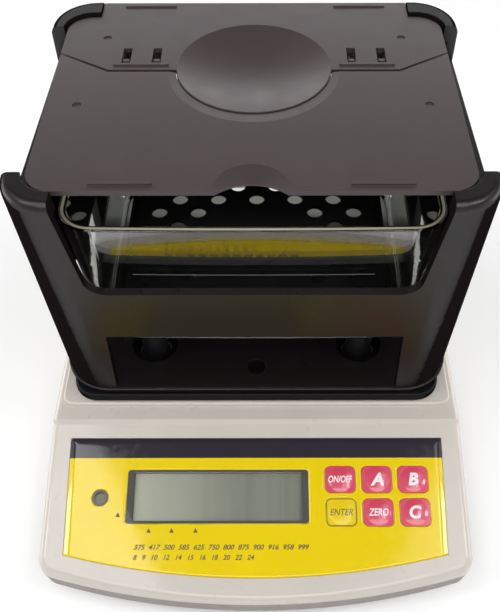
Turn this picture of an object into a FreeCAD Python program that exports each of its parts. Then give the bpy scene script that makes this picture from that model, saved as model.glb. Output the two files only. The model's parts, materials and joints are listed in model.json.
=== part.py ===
import FreeCAD, Part
import math
import os

# Electronic gold tester: a bench balance that weighs a piece in air on the dish
# and in water in the hanging basket, and works out its density.
# Millimetres, +X right, +Y to the rear, +Z up. The origin is on the table, under
# the middle of the base. X = 0 is the plane of symmetry of all but the panel.

V = FreeCAD.Vector

# --- Base housing -----------------------------------------------------------
BASE_W = 200.0             # width of the base, its sides are parallel
BASE_FRONT = -123.1        # middle of the bowed front
BASE_REAR = 123.1
FRONT_BOW = 14.4           # the front corners lie this far behind its middle
FRONT_CORNER_R = 8.0
REAR_CORNER_R = 14.0
BASE_BOTTOM = 8.0          # underside of the lower housing, above the feet
SPLIT_Z = 17.5             # parting line between the two housings
SKIRT_DRAFT = 0.8          # the lower housing tapers in by this much
WALL = 2.5                 # thickness of both housings
DECK_Z = 45.3              # flat rear part of the top
PLINTH_Z = 47.2            # raised panel of the deck under the weighing pan
PLINTH_HALF_W = 96.0
PLINTH_FRONT = -35.2
PLINTH_REAR = 112.0
STEP_FRONT = -44.4         # foot of the step between slope and deck
STEP_REAR = -42.8
PLINTH_R = 6.0
PLINTH_ROUND = 1.2
EDGE_R = 4.0               # rounding along the top edges of the base
SCREW_PLACES = ((60.0, -108.0), (88.0, 30.0))    # housing screws, mirrored to the left
SCREW_R = 1.5
SCREW_HEAD_R = 3.0
SCREW_HEAD_H = 2.2
SCREW_SEAT_Z = 10.8        # what the screw heads pull against
SCREW_BOSS_R = 5.0
BOSS_SHY = 0.5            # the bosses stop this short of the outside
SCREW_TIP = 21.5
INLET_X = 45.0
INLET_Z = 29.0
INLET_W = 9.6
INLET_H = 11.6
INLET_DEPTH = 14.0
INLET_BORE_R = 3.1
INLET_PIN_R = 1.0

# --- Sloped panel: X across, v down the slope from the film's top edge -----------
PANEL_TILT = math.degrees(math.atan(0.2949))
PANEL_TOP_Y = -50.9
PANEL_TOP_Z = 41.3
FILM_T = 0.5
FILM_GAP = 0.15            # joint round the film in its recess
FILM_TOP_HALF_W = 89.7
FILM_BOTTOM_HALF_W = 88.2
FILM_SIDE = 54.6           # length of the film's straight sides down the slope
FILM_MIDDLE = 64.7         # its length along the middle, the lower edge is an arc
BAND = 9.8                 # the dark strip along the top of the film
WINDOW = (-60.9, 24.9, 15.4, 40.6)      # display window: x0, x1, v0, v1
WINDOW_R = 1.5
KEY_W = 14.2
KEY_H = 12.6
KEY_R = 2.6
KEY_RISE = 0.45            # the keys stand this proud of the film
KEY_ROUND = 0.3
DOME_R = 5.9               # round dome on each key
DOME_H = 0.55
KEY_CLEAR = 0.3
KEY_TRAVEL = 0.45
KEY_COLUMNS = (40.0, 57.3, 74.5)
KEY_ROWS = (20.15, 35.5)
KEY_NAMES = (("key_on_off", "key_a", "key_b"), ("key_enter", "key_zero", "key_c"))
LEVEL_X = -73.3
LEVEL_V = 28.6
LEVEL_R = 4.0
LEVEL_PLUG_R = 3.4
LEVEL_DEPTH = 7.0
VIAL_R = 2.7
VIAL_Z = (-4.4, -1.0)      # vial's bottom and top, measured plumb from the film's surface
BUBBLE_R = 0.9
BUBBLE_AT = (0.3, 0.4)
BUBBLE_Z = (-1.9, -1.3)
BEZEL_RIM = 3.0            # the display holder is this much larger than the window
BEZEL_TOP = 0.2            # gap under the housing
GLASS_T = 1.6
LIP_T = 3.4                # thickness of the holder's front frame
GLASS_X = (3.2, 3.0)       # the glass is this much smaller than the window at each side
GLASS_V = (1.2, 1.4)
BOARD_DEPTH = 12.0         # top of the main board below the panel
BOARD_T = 1.6
SWITCH_SIDE = 6.0
SWITCH_BODY_H = 3.5
SWITCH_CAN_H = 2.9
SWITCH_BUTTON_R = 1.7
BOARD = (-66.0, 80.0, -52.0, -5.0)
BOARD_NOTCH = (70.0, -44.0)    # its lower right corner is cut away clear of a foot
BOARD_POSTS = ((-62.0, -48.0), (-62.0, -9.0), (65.9, -48.0), (65.9, -9.0))
SPACER_R = 3.0
BOARD_SCREW_R = 1.1
BOARD_SCREW_HEAD_R = 2.4
BOARD_SCREW_HEAD_H = 1.6
BOARD_SCREW_L = 5.0

# --- Levelling feet ---------------------------------------------------------
FOOT_X = 76.0
FOOT_Y = (-97.5, 102.0)
STEM_R = 3.0
STEM_FIT = 0.05            # radial play of the thread
STEM_TOP = 15.0
WHEEL_R = 10.0
WHEEL_Z = (2.7, 6.9)
GRIP_R = 1.1
GRIPS = 14                 # hollows round the thumbwheel
PAD_R = 8.0
PAD_H = 2.4
FOOT_BOSS_R = 7.0
FOOT_BOSS_TOP = 12.6

# --- Weighed frame: tapered box with windows ---------------------------------
FRAME_FLOOR_Z = 53.0
FRAME_TOP_Z = 186.0
FRAME_BOTTOM = (94.0, -31.0, 98.0, 22.0)  # half width in front, front, rear, corner radius
FRAME_TOP = (93.6, -44.2, 98.0, 19.0)
FRAME_NARROWING = 2.3      # the half width at the rear is less by this much
FRAME_WALL = 4.0
FRAME_FLOOR_T = 2.5
FOOT_LIP = 0.9             # low lip round the frame's foot
FOOT_LIP_H = 2.2
FOOT_LIP_ROUND = 0.5
RIM_INNER = (85.6, -35.6, 87.0, 12.5)   # inside of the corner rims, same four sizes
RIM_H = 8.0
RIM_ROUND = 3.6
SILL_Z = 132.8             # lower edge of the front window
WINDOW_HALF_W = 67.4       # front window at the sill, it widens upwards
WINDOW_HALF_W_TOP = 73.3
WINDOW_CORNER_R = 9.0
REAR_VIEW = (66.0, 124.0, 150.0)    # rear window: half width, lower and upper edge
SLOT_HALF_W = 67.8         # lower slots at front and rear, at the floor
SLOT_HALF_W_TOP = 65.5
SLOT_TOP_Z = 100.7
SLOT_ROUND = 1.0
SIDE_SPAN = (-24.9, 75.0)  # the side walls are low between the corner posts
SIDE_TOP_Z = 168.0
SIDE_SLOT = (-8.9, 67.0, 63.5, 91.7)    # y0, y1, z0, z1
LEG_X = 51.5
LEG_Y = (-4.3, 66.0)
LEG_R = 6.5
LEG_HOLE_R = 11.5
DRAIN_Y = -18.6
DRAIN_R = 4.5
LEDGE_Z = 182.2            # what the top plates rest on
# Ledges: x0, x1, y0, y1 and thickness, on the right side and mirrored to the left.
LID_PAD = (79.5, 91.0, -41.5, -24.9, 5.0)
SIDE_SHELF = (81.8, 90.0, 57.5, 92.0, 4.0)
SHELF_RISER = (81.8, 84.0, 57.5, 92.0, 15.2)
REAR_LEDGE = (70.0, 88.0, 85.5, 93.0, 8.0)
SOCKET_X = 48.0            # sockets in the rear wall for the rear plate's tongues
SOCKET_HALF_W = 13.0
SOCKET_Y = (86.5, 95.0)
SOCKET_LOW_Z = 166.0
POCKET_HALF_W = 11.0
POCKET_Y = (88.5, 92.1)
POCKET_LOW_Z = 170.5

# --- Weighing pan -----------------------------------------------------------
PAN = (-90.0, 90.0, -33.9, 100.0)
PAN_Z = (48.6, 52.5)
PAN_R = 12.0
PAN_T = 2.0
PAN_ROUND = 1.4
PAN_HOLE_R = 8.0           # clearance round the legs of the tank stand
PAD_PLACES = (74.0, (-12.0, 82.0))      # rubber discs under the frame: x, both y
PAN_PAD_R = 6.0
STOP_PLACES = (78.0, (-20.0, 88.0))     # stops on the deck: x, both y
STOP_R = 3.5
STOP_H = 0.7
COLUMN_R = 10.0
COLUMN_FOOT = 9.0          # half length and height of the column's foot
COLUMN_FOOT_H = 3.0
COLUMN_GAP = 3.0           # clearance round the column in the deck
SUPPORT_Y = 30.0           # axis of the pan's column
LOAD_CELL_Z = (24.0, 36.7)
LOAD_CELL_Y = (-40.0, 40.0)
LOAD_CELL_W = 12.7
EYE_R = 4.2                # sensing hole of the load cell: two eyes and a slit
EYE_Y = 8.0
EYE_SLIT = 3.0
SEAT_HALF_W = 14.0
SEAT_H = 4.0
SEAT_L = 20.0
OVERLOAD_GAP = 0.7
OVERLOAD_R = 4.0

# --- Top plates --------------------------------------------------------------
LID_Z = 184.67
LID_T = 2.2
LID_HALF_W = 84.0
LID_FRONT = -34.1
LID_CORNER_R = 11.0
JOINT_Y = 42.1             # joint of the two plates, middle stretch
JOINT_KINK_X = 61.8
JOINT_SIDE_Y = 55.3        # where the joint meets the plates' sides
JOINT_GAP = 1.5
TABLE_REAR = 97.4
TABLE_CORNER_Y = 85.0
TABLE_NOTCH_X = 70.2
TABLE_FIT = 0.3            # gap between the rear plate and the rims
DISH_Y = 45.8
DISH_R = 33.0
DISH_DEPTH = 6.0
DISH_SKIM = 0.15           # the bowl stops this short of the dish's edge
DISH_ROUND = 0.25
DISH_GAP = 0.3             # gap between the dish and the front plate
BEVEL_Y = 42.7             # bevel of the front plate round the dish
BEVEL_R = 36.2
BEVEL_DROP = 0.5
NOTCH_R = 19.8             # finger notch in the front plate's front edge
NOTCH_AHEAD = 14.5
SCOOP_Y = -33.5            # shallow scoop round the notch
SCOOP_LIFT = 60.0
DIMPLE_R = 1.8
DIMPLE_DEPTH = 0.5
LID_DIMPLE = (71.3, 18.0)
TABLE_DIMPLE = (65.1, 67.6)
HINGE_Y = 45.8
HINGE_Z = LID_Z            # the axis lies in the tops of the plates, so their corners swing clear
HOOK_R = (4.2, 6.0)
HOOK_TIP = 0.5             # the hooks end this far below the plates' tops
HOOK_W = 2.6
HOOK_X = (42.0, 55.0)
SLOT_W = 3.8
SLOT_Y = (48.2, 59.3)
RIB_X = (36.4, 60.2)
RIB_HALF_W = 0.6
LID_RIB = (-30.4, 0.7)     # place along Y and height of the ridges
TABLE_RIBS = ((46.4, 0.6), (94.2, 0.6))
TONGUE_HALF_W = 10.7
TONGUE_Y = (88.8, 91.8)
TONGUE_LOW_Z = 171.0

# --- Tank, its stand and the basket ------------------------------------------
TABLE_TOP_Z = 82.0         # top of the tank stand
TABLE_HALF_W = 70.0
TABLE_T = 3.0
TABLE_RIB_H = 4.0
TABLE_RIB_T = 2.4
SHOE_H = 3.0
TANK_TOP_Z = 162.8
TANK_TOP = (77.0, -32.2, 84.5, 14.0)    # half width, front, rear, corner radius
TANK_BOTTOM = (73.0, -22.1, 83.5, 12.0)
TANK_BOW = 0.7             # the middle of the front wall stands this far ahead of its ends
TANK_WALL = 3.0
TANK_ROUND = 2.5
TANK_RIM_ROUND = 0.6
BASKET = (-64.0, 64.0, -11.0, 79.0)
BASKET_Z = (95.4, 97.0)
BASKET_R = 12.0
BASKET_LIP = (2.0, 1.4)    # width and height of the lip round the basket
HOLE_R = 4.0
HOLE_PITCH = 19.9
HOLE_ROWS = (5.0, 15.0, 29.0, 39.0, 49.0, 59.0, 69.0)    # every other row is half a pitch across
BLANK_Y = 30.0             # the middle of the basket has no holes
BLANK_R = 27.0
BLANK_DISC = (16.0, 0.8)   # radius and height of the raised disc in the middle
ARM_X = 61.5
ARM_T = 2.6
ARM_Y = (60.0, 76.0)
ARM_LUG = 4.5              # half width of the lug that holds an arm
ARM_LUG_H = 6.0
ARM_SCREW_DROP = 3.2
ARM_SCREW_R = 1.2
ARM_SCREW_HEAD = (2.4, 1.4)


# --- Shapes ------------------------------------------------------------------
def box(x0, x1, y0, y1, z0, z1):
    """Block between opposite corners."""
    return Part.makeBox(x1 - x0, y1 - y0, z1 - z0, V(x0, y0, z0))


def rod(x, y, z0, z1, r):
    """Upright cylinder."""
    return Part.makeCylinder(r, z1 - z0, V(x, y, z0))


def fuse(shapes):
    """All the shapes as one solid."""
    body = shapes[0]
    for other in shapes[1:]:
        body = body.fuse(other)
    return body.removeSplitter()


def cut(body, tools):
    """The body with every tool taken out of it."""
    for tool in tools:
        body = body.cut(tool)
    return body


def mirrored(shape):
    """The shape on the other side of the plane of symmetry."""
    return shape.mirror(V(0, 0, 0), V(1, 0, 0))


def polygon(points):
    """Closed wire through the points."""
    vectors = [V(*p) for p in points]
    return Part.makePolygon(vectors + [vectors[0]])


def rounded_polygon(points, radius, z):
    """Closed wire round the corner points, each corner rounded, lying at height z."""
    corners = [V(x, y, z) for x, y in points]
    arcs = []
    for before, corner, after in zip(corners[-1:] + corners[:-1], corners, corners[1:] + corners[:1]):
        back, ahead = (before - corner).normalize(), (after - corner).normalize()
        half = back.getAngle(ahead) / 2
        reach = radius / math.tan(half)
        middle = (back + ahead).normalize() * (radius / math.sin(half) - radius)
        arcs.append((corner + back * reach, corner + middle, corner + ahead * reach))
    edges = []
    for arc, following in zip(arcs, arcs[1:] + arcs[:1]):
        edges += [Part.Arc(*arc).toShape(), Part.LineSegment(arc[2], following[0]).toShape()]
    return Part.Wire(edges)


def rounded_rect(x0, x1, y0, y1, r, z):
    """Closed wire of a rectangle with round corners, lying at height z."""
    return rounded_polygon([(x0, y0), (x1, y0), (x1, y1), (x0, y1)], r, z)


def plate(x0, x1, y0, y1, r, z0, z1):
    """Upright prism over a rectangle with round corners."""
    return Part.Face(rounded_rect(x0, x1, y0, y1, r, z0)).extrude(V(0, 0, z1 - z0))


def round_edges(shape, radius, wanted):
    """Round the edges whose middle passes the test."""
    chosen = [e for e in shape.Edges if wanted(e.BoundBox.Center)]
    return shape.makeFillet(radius, chosen)


def on_panel(shape):
    """Move a shape drawn on the level into the sloped panel.

    In the drawing the film's top edge is y = 0, down the slope is -y and the
    film's surface is z = 0.
    """
    moved = shape.copy()
    moved.Placement = FreeCAD.Placement(
        V(0, PANEL_TOP_Y, PANEL_TOP_Z), FreeCAD.Rotation(V(1, 0, 0), PANEL_TILT)
    ).multiply(moved.Placement)
    return moved


def slope_z(y):
    """Height of the sloped top at a place along Y."""
    return PANEL_TOP_Z + (y - PANEL_TOP_Y) * math.tan(math.radians(PANEL_TILT))


# --- Base ----------------------------------------------------------------------
def base_outline(inset, z):
    """Plan of the base: parallel sides, bowed front, round corners."""
    half = BASE_W / 2 - inset
    front = BASE_FRONT + inset
    rear = BASE_REAR - inset
    side_front = front + FRONT_BOW
    bow = Part.Arc(V(-half, side_front, z), V(0, front, z), V(half, side_front, z)).toShape()
    points = [V(half, side_front, z), V(half, rear, z), V(-half, rear, z), V(-half, side_front, z)]
    return Part.Wire([bow] + [Part.LineSegment(a, b).toShape() for a, b in zip(points, points[1:])])


def base_prism(inset, z0, z1):
    """The base's plan raised from z0 to z1, with its upright corners rounded."""
    prism = Part.Face(base_outline(inset, z0)).extrude(V(0, 0, z1 - z0))

    def upright(e, front):
        """Whether the edge is an upright corner at the front or at the rear."""
        size = e.BoundBox
        return size.ZLength > 1 and size.XLength < 0.01 and (size.YMin < 0) == front

    prism = prism.makeFillet(FRONT_CORNER_R - inset / 2, [e for e in prism.Edges if upright(e, True)])
    return prism.makeFillet(REAR_CORNER_R - inset / 2, [e for e in prism.Edges if upright(e, False)])


def profile(points):
    """Side profile swept across the whole width."""
    half = BASE_W / 2 + 1
    return Part.Face(polygon([(-half, y, z) for y, z in points])).extrude(V(2 * half, 0, 0))


def upper_outer():
    """Outside of the upper housing, with the step of the deck and rounded top edges."""
    top = profile([
        (BASE_FRONT - 1, SPLIT_Z), (BASE_FRONT - 1, slope_z(BASE_FRONT - 1)),
        (STEP_FRONT, slope_z(STEP_FRONT)), (STEP_REAR, DECK_Z),
        (BASE_REAR + 1, DECK_Z), (BASE_REAR + 1, SPLIT_Z),
    ])
    body = base_prism(0, SPLIT_Z, DECK_Z + 5).common(top)

    def on_brim(size):
        """Whether an edge of this extent runs along the top of the sides."""
        across = size.XLength > BASE_W - 1 and size.YLength < 0.1
        upright = size.ZLength > 1 and size.XLength < 0.01 and size.YLength < 0.01
        return size.ZMin > SPLIT_Z + 2 and not across and not upright

    return body.makeFillet(EDGE_R, [e for e in body.Edges if on_brim(e.BoundBox)])


def upper_housing():
    """Upper housing: shell with the film's recess, the panel openings and the plinth."""
    drop = WALL / math.cos(math.radians(PANEL_TILT))
    hollow = base_prism(WALL, SPLIT_Z - 1, DECK_Z).common(profile([
        (BASE_FRONT - 1, SPLIT_Z - 1), (BASE_FRONT - 1, slope_z(BASE_FRONT - 1) - drop),
        (STEP_REAR, slope_z(STEP_REAR) - drop), (STEP_REAR + WALL, DECK_Z - WALL),
        (BASE_REAR + 1, DECK_Z - WALL), (BASE_REAR + 1, SPLIT_Z - 1),
    ]))
    plinth = plate(-PLINTH_HALF_W, PLINTH_HALF_W, PLINTH_FRONT, PLINTH_REAR, PLINTH_R, DECK_Z - 1, PLINTH_Z)
    plinth = round_edges(plinth, PLINTH_ROUND, lambda c: c.z > PLINTH_Z - 0.01)
    bosses = [rod(s * x, y, SPLIT_Z, min(slope_z(y - SCREW_BOSS_R), DECK_Z) - BOSS_SHY,
                  SCREW_BOSS_R)
              for s in (-1, 1) for x, y in SCREW_PLACES]
    body = fuse([upper_outer().cut(hollow), plinth] + bosses)
    body = body.cut(on_panel(film_outline(-FILM_GAP, -FILM_T, 5)))
    x0, x1, v0, v1 = WINDOW
    openings = [on_panel(plate(x0 + 1, x1 - 1, -v1 + 1, -v0 - 1, 1, -8, 1))]
    for x, v, _ in keys():
        openings.append(on_panel(key_block(x, v, KEY_CLEAR, -8, 1)))
    openings.append(on_panel(rod(LEVEL_X, -LEVEL_V, -8, 1, LEVEL_PLUG_R)))
    openings.append(rod(0, SUPPORT_Y, DECK_Z - 6, PLINTH_Z + 1, COLUMN_R + COLUMN_GAP))
    openings.append(inlet_block(0.2, BASE_REAR - 10, BASE_REAR + 2))
    openings += [rod(s * x, y, SPLIT_Z - 1, SCREW_TIP + 0.5, SCREW_R)
                 for s in (-1, 1) for x, y in SCREW_PLACES]
    return cut(body, openings)


def lower_housing():
    """Lower housing: tapered tray with the foot bosses and the screw posts."""
    def tray(inset, z0, z1):
        """Tapered block over the base's plan, with rounded corners."""
        bottom = base_outline(inset + SKIRT_DRAFT, z0)
        top = base_outline(inset, z1)
        body = Part.makeLoft([bottom, top], True, True)
        for radius, front in ((FRONT_CORNER_R, True), (REAR_CORNER_R, False)):
            corners = [e for e in body.Edges if e.BoundBox.ZLength > z1 - z0 - 0.1
                       and (e.BoundBox.Center.y < 0) == front]
            body = body.makeFillet(radius - inset / 2, corners)
        return body

    outer = tray(0, BASE_BOTTOM, SPLIT_Z)
    inner = tray(WALL, BASE_BOTTOM + WALL, SPLIT_Z + 2)
    body = outer.cut(inner)
    bosses = [rod(s * FOOT_X, y, BASE_BOTTOM, FOOT_BOSS_TOP, FOOT_BOSS_R)
              for s in (-1, 1) for y in FOOT_Y]
    posts = [rod(s * x, y, BASE_BOTTOM + 1, SPLIT_Z, SCREW_BOSS_R)
             for s in (-1, 1) for x, y in SCREW_PLACES]
    body = fuse([body] + bosses + posts)
    bores = [rod(s * FOOT_X, y, 0, 40, STEM_R + STEM_FIT) for s in (-1, 1) for y in FOOT_Y]
    heads = [rod(s * x, y, 0, SCREW_SEAT_Z, SCREW_HEAD_R + 0.4)
             for s in (-1, 1) for x, y in SCREW_PLACES]
    shanks = [rod(s * x, y, 0, SPLIT_Z + 1, SCREW_R + 0.3) for s in (-1, 1) for x, y in SCREW_PLACES]
    return cut(body, bores + heads + shanks)


def inlet_block(grow, y0, y1):
    """Block of the power inlet's face between two places along Y."""
    w, h = INLET_W / 2 + grow, INLET_H / 2 + grow
    return box(INLET_X - w, INLET_X + w, y0, y1, INLET_Z - h, INLET_Z + h)


def housing_screws():
    """Pan-head screws up through the lower housing into the upper one."""
    screws = []
    for s in (-1, 1):
        for x, y in SCREW_PLACES:
            head = rod(s * x, y, SCREW_SEAT_Z - SCREW_HEAD_H, SCREW_SEAT_Z, SCREW_HEAD_R)
            screws.append(fuse([head, rod(s * x, y, SCREW_SEAT_Z, SCREW_TIP, SCREW_R)]))
    return Part.makeCompound(screws)


def film_outline(inset, z0, z1):
    """The film's outline as a prism in the panel's drawing: straight sides, arc below."""
    top, low = FILM_TOP_HALF_W - inset, FILM_BOTTOM_HALF_W - inset
    a, b = V(-top, -inset, z0), V(top, -inset, z0)
    c, d = V(low, -FILM_SIDE + inset, z0), V(-low, -FILM_SIDE + inset, z0)
    middle = V(0, -FILM_MIDDLE + inset, z0)
    edges = [Part.LineSegment(a, b).toShape(), Part.LineSegment(b, c).toShape(),
             Part.Arc(c, middle, d).toShape(), Part.LineSegment(d, a).toShape()]
    return Part.Face(Part.Wire(edges)).extrude(V(0, 0, z1 - z0))


def keys():
    """Middle and name of each key on the panel."""
    return [(x, v, KEY_NAMES[r][c]) for r, v in enumerate(KEY_ROWS) for c, x in enumerate(KEY_COLUMNS)]


def key_block(x, v, grow, z0, z1):
    """Prism of one key's outline in the panel's drawing."""
    w, h = KEY_W / 2 + grow, KEY_H / 2 + grow
    return plate(x - w, x + w, -v - h, -v + h, KEY_R + grow, z0, z1)


def panel_parts():
    """Film, dark band, display, level and keys, all in the sloped panel."""
    film = film_outline(0, -FILM_T, 0)
    x0, x1, v0, v1 = WINDOW
    holes = [key_block(x, v, KEY_CLEAR, -2, 2) for x, v, _ in keys()]
    holes.append(rod(LEVEL_X, -LEVEL_V, -2, 2, LEVEL_R))
    holes.append(plate(x0, x1, -v1, -v0, WINDOW_R, -2, 2))
    band_zone = box(-100, 100, -BAND, 10, -2, 2)
    parts = {
        "panel_overlay": cut(film, holes + [band_zone]),
        "panel_band": film.common(band_zone),
        "display_window": plate(x0, x1, -v1, -v0, WINDOW_R, -FILM_T, 0),
    }
    top = -WALL - BEZEL_TOP
    glass = (x0 + GLASS_X[0], x1 - GLASS_X[1], -v1 + GLASS_V[1], -v0 - GLASS_V[0])
    rim = BEZEL_RIM
    bezel = box(x0 - rim, x1 + rim, -v1 - rim, -v0 + rim, -BOARD_DEPTH, top)
    hollow = box(x0 - 1, x1 + 1, -v1 - 1, -v0 + 1, -BOARD_DEPTH - 1, top - LIP_T)
    parts["lcd_bezel"] = cut(bezel, [box(*glass, top - GLASS_T, top + 1), hollow])
    parts["lcd_glass"] = box(*glass, top - GLASS_T, top - 0.2)
    # The level sits plumb in a plug that fills its hole in the slope.
    plug = on_panel(fuse([rod(LEVEL_X, -LEVEL_V, -FILM_T, 0, LEVEL_R),
                          rod(LEVEL_X, -LEVEL_V, -LEVEL_DEPTH, -FILM_T, LEVEL_PLUG_R)]))
    centre = on_panel(Part.Vertex(V(LEVEL_X, -LEVEL_V, 0))).Point
    well = rod(centre.x, centre.y, centre.z + VIAL_Z[0], centre.z + LEVEL_R, VIAL_R)
    vial = rod(centre.x, centre.y, centre.z + VIAL_Z[0], centre.z + VIAL_Z[1], VIAL_R)
    bubble = rod(centre.x + BUBBLE_AT[0], centre.y + BUBBLE_AT[1],
                 centre.z + BUBBLE_Z[0], centre.z + BUBBLE_Z[1], BUBBLE_R)
    shapes = {name: on_panel(shape) for name, shape in parts.items()}
    shapes["level_cup"] = plug.cut(well)
    shapes["level_vial"] = vial.cut(bubble)
    shapes["level_bubble"] = bubble
    for x, v, name in keys():
        cap = key_block(x, v, 0, -WALL - 1.0, KEY_RISE)
        cap = round_edges(cap, KEY_ROUND, lambda c: c.z > KEY_RISE - 0.01)
        ball_r = (DOME_R ** 2 + DOME_H ** 2) / (2 * DOME_H)
        ball = Part.makeSphere(ball_r, V(x, -v, KEY_RISE + DOME_H - ball_r))
        dome = ball.common(rod(x, -v, -WALL, KEY_RISE + DOME_H + 1, DOME_R + 0.2))
        flange = key_block(x, v, 1.0, -WALL - 1.2 - KEY_CLEAR, -WALL - KEY_CLEAR)
        stem = rod(x, -v, -BOARD_DEPTH + SWITCH_BODY_H + 0.6 + KEY_TRAVEL, -WALL - 1, 2.4)
        shapes[name] = on_panel(fuse([cap, dome, flange, stem]))
    return shapes


def electronics():
    """Main board under the panel, its key switches, and the power inlet."""
    top = -BOARD_DEPTH
    notch = box(BOARD_NOTCH[0], BOARD[1] + 1, BOARD[2] - 1, BOARD_NOTCH[1], top - BOARD_T - 1, top + 1)
    holes = [rod(x, y, top - 5, top + 5, BOARD_SCREW_R + 0.1) for x, y in BOARD_POSTS]
    board = cut(box(*BOARD, top - BOARD_T, top), holes + [notch])
    half = SWITCH_SIDE / 2
    switches = []
    for x, v, _ in keys():
        body = box(x - half, x + half, -v - half, -v + half, top, top + SWITCH_CAN_H)
        switches.append(on_panel(fuse([body, rod(x, -v, top, top + SWITCH_BODY_H, SWITCH_BUTTON_R)])))
    under = top - BOARD_T
    spacers, screws = [], []
    for x, y in BOARD_POSTS:
        bore = rod(x, y, top - 1, top + BOARD_SCREW_L + 0.2, BOARD_SCREW_R)
        spacers.append(rod(x, y, top, -WALL, SPACER_R).cut(bore))
        screws.append(fuse([rod(x, y, under - BOARD_SCREW_HEAD_H, under, BOARD_SCREW_HEAD_R),
                            rod(x, y, under, top + BOARD_SCREW_L, BOARD_SCREW_R)]))
    body = inlet_block(0, BASE_REAR - INLET_DEPTH, BASE_REAR)
    bottom = BASE_REAR - INLET_DEPTH + 3
    barrel = Part.makeCylinder(INLET_BORE_R, INLET_DEPTH, V(INLET_X, bottom, INLET_Z), V(0, 1, 0))
    pin = Part.makeCylinder(INLET_PIN_R, INLET_DEPTH - 4.5, V(INLET_X, bottom, INLET_Z), V(0, 1, 0))
    return {
        "main_board": on_panel(board),
        "tact_switches": Part.makeCompound(switches),
        "board_spacers": Part.makeCompound([on_panel(s) for s in spacers]),
        "board_screws": Part.makeCompound([on_panel(s) for s in screws]),
        "dc_inlet": body.cut(barrel),
        "dc_inlet_pin": pin,
    }


def feet():
    """Four levelling feet: a rubber pad, and a thumbwheel with its threaded stem."""
    shapes = {}
    for i, (x, y) in enumerate([(s * FOOT_X, y) for y in FOOT_Y for s in (-1, 1)], start=1):
        pad = round_edges(rod(x, y, 0, PAD_H, PAD_R), 0.6, lambda c: c.z > PAD_H - 0.01)
        wheel = rod(x, y, WHEEL_Z[0], WHEEL_Z[1], WHEEL_R)
        turns = [2 * math.pi * k / GRIPS for k in range(GRIPS)]
        grips = [rod(x + WHEEL_R * math.cos(a), y + WHEEL_R * math.sin(a),
                     WHEEL_Z[0] - 1, WHEEL_Z[1] + 1, GRIP_R) for a in turns]
        stem = rod(x, y, WHEEL_Z[1], STEM_TOP, STEM_R)
        shapes["foot_pad_%d" % i] = pad
        shapes["foot_screw_%d" % i] = fuse([cut(wheel, grips), stem])
    return shapes


# --- Weighing chain ----------------------------------------------------------
def load_cell_parts():
    """Load cell beam, its seat on the lower housing, and the column up to the pan."""
    half = LOAD_CELL_W / 2
    y0, y1 = LOAD_CELL_Y
    z0, z1 = LOAD_CELL_Z
    mid_z = (z0 + z1) / 2
    beam = box(-half, half, y0, y1, z0, z1)
    eyes = [Part.makeCylinder(EYE_R, LOAD_CELL_W, V(-half, y, mid_z), V(1, 0, 0)) for y in (-EYE_Y, EYE_Y)]
    beam = cut(beam, eyes + [box(-half, half, -EYE_Y, EYE_Y, mid_z - EYE_SLIT / 2, mid_z + EYE_SLIT / 2)])
    tray_z = BASE_BOTTOM + WALL
    seat = fuse([box(-SEAT_HALF_W, SEAT_HALF_W, y0 - 6, y0 + SEAT_L + 4, tray_z, tray_z + SEAT_H),
                 box(-half, half, y0, y0 + SEAT_L, tray_z + SEAT_H, z0)])
    stop = rod(0, y1 - 6, tray_z, z0 - OVERLOAD_GAP, OVERLOAD_R)
    column = fuse([
        box(-half, half, SUPPORT_Y - COLUMN_FOOT, SUPPORT_Y + COLUMN_FOOT, z1, z1 + COLUMN_FOOT_H),
        rod(0, SUPPORT_Y, z1, PAN_Z[0] + 1, COLUMN_R - 3),
        rod(0, SUPPORT_Y, PAN_Z[0] - 0.4, PAN_Z[1] - PAN_T, COLUMN_R),
    ])
    buttons = [rod(s * STOP_PLACES[0], y, PLINTH_Z, PLINTH_Z + STOP_H, STOP_R)
               for s in (-1, 1) for y in STOP_PLACES[1]]
    return {
        "load_cell": beam,
        "load_cell_seat": seat,
        "load_cell_stop": stop,
        "pan_column": column,
        "pan_stops": Part.makeCompound(buttons),
    }


def leg_places():
    """Where the tank stand's four legs pass through the pan and the frame."""
    return [(s * LEG_X, y) for s in (-1, 1) for y in LEG_Y]


def weighing_pan():
    """Shallow black pan: flat top, turned-down edge, four clearance holes."""
    x0, x1, y0, y1 = PAN
    body = plate(x0, x1, y0, y1, PAN_R, PAN_Z[0], PAN_Z[1])
    body = round_edges(body, PAN_ROUND, lambda c: c.z > PAN_Z[1] - 0.01)
    t = PAN_T
    hollow = plate(x0 + t, x1 - t, y0 + t, y1 - t, PAN_R - t, PAN_Z[0] - 1, PAN_Z[1] - t)
    holes = [rod(x, y, PAN_Z[0] - 1, PAN_Z[1] + 1, PAN_HOLE_R) for x, y in leg_places()]
    return cut(body, [hollow] + holes)


def pan_pads():
    """Thin rubber discs between the pan and the frame."""
    return Part.makeCompound([rod(s * PAD_PLACES[0], y, PAN_Z[1], FRAME_FLOOR_Z, PAN_PAD_R)
                              for s in (-1, 1) for y in PAD_PLACES[1]])


def frame_section(z, inset):
    """Wire of the frame's plan at one height, moved in by the inset."""
    t = (z - FRAME_FLOOR_Z) / (FRAME_TOP_Z - FRAME_FLOOR_Z)
    half, front, rear, r = (a + (b - a) * t for a, b in zip(FRAME_BOTTOM, FRAME_TOP))
    w0, w1 = half - inset, half - FRAME_NARROWING - inset
    y0, y1 = front + inset, rear - inset
    return rounded_polygon([(-w0, y0), (w0, y0), (w1, y1), (-w1, y1)], r - inset, z)


def frame_block(z0, z1, inset):
    """Solid tapered block of the frame between two heights."""
    return Part.makeLoft([frame_section(z0, inset), frame_section(z1, inset)], True, True)


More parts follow.
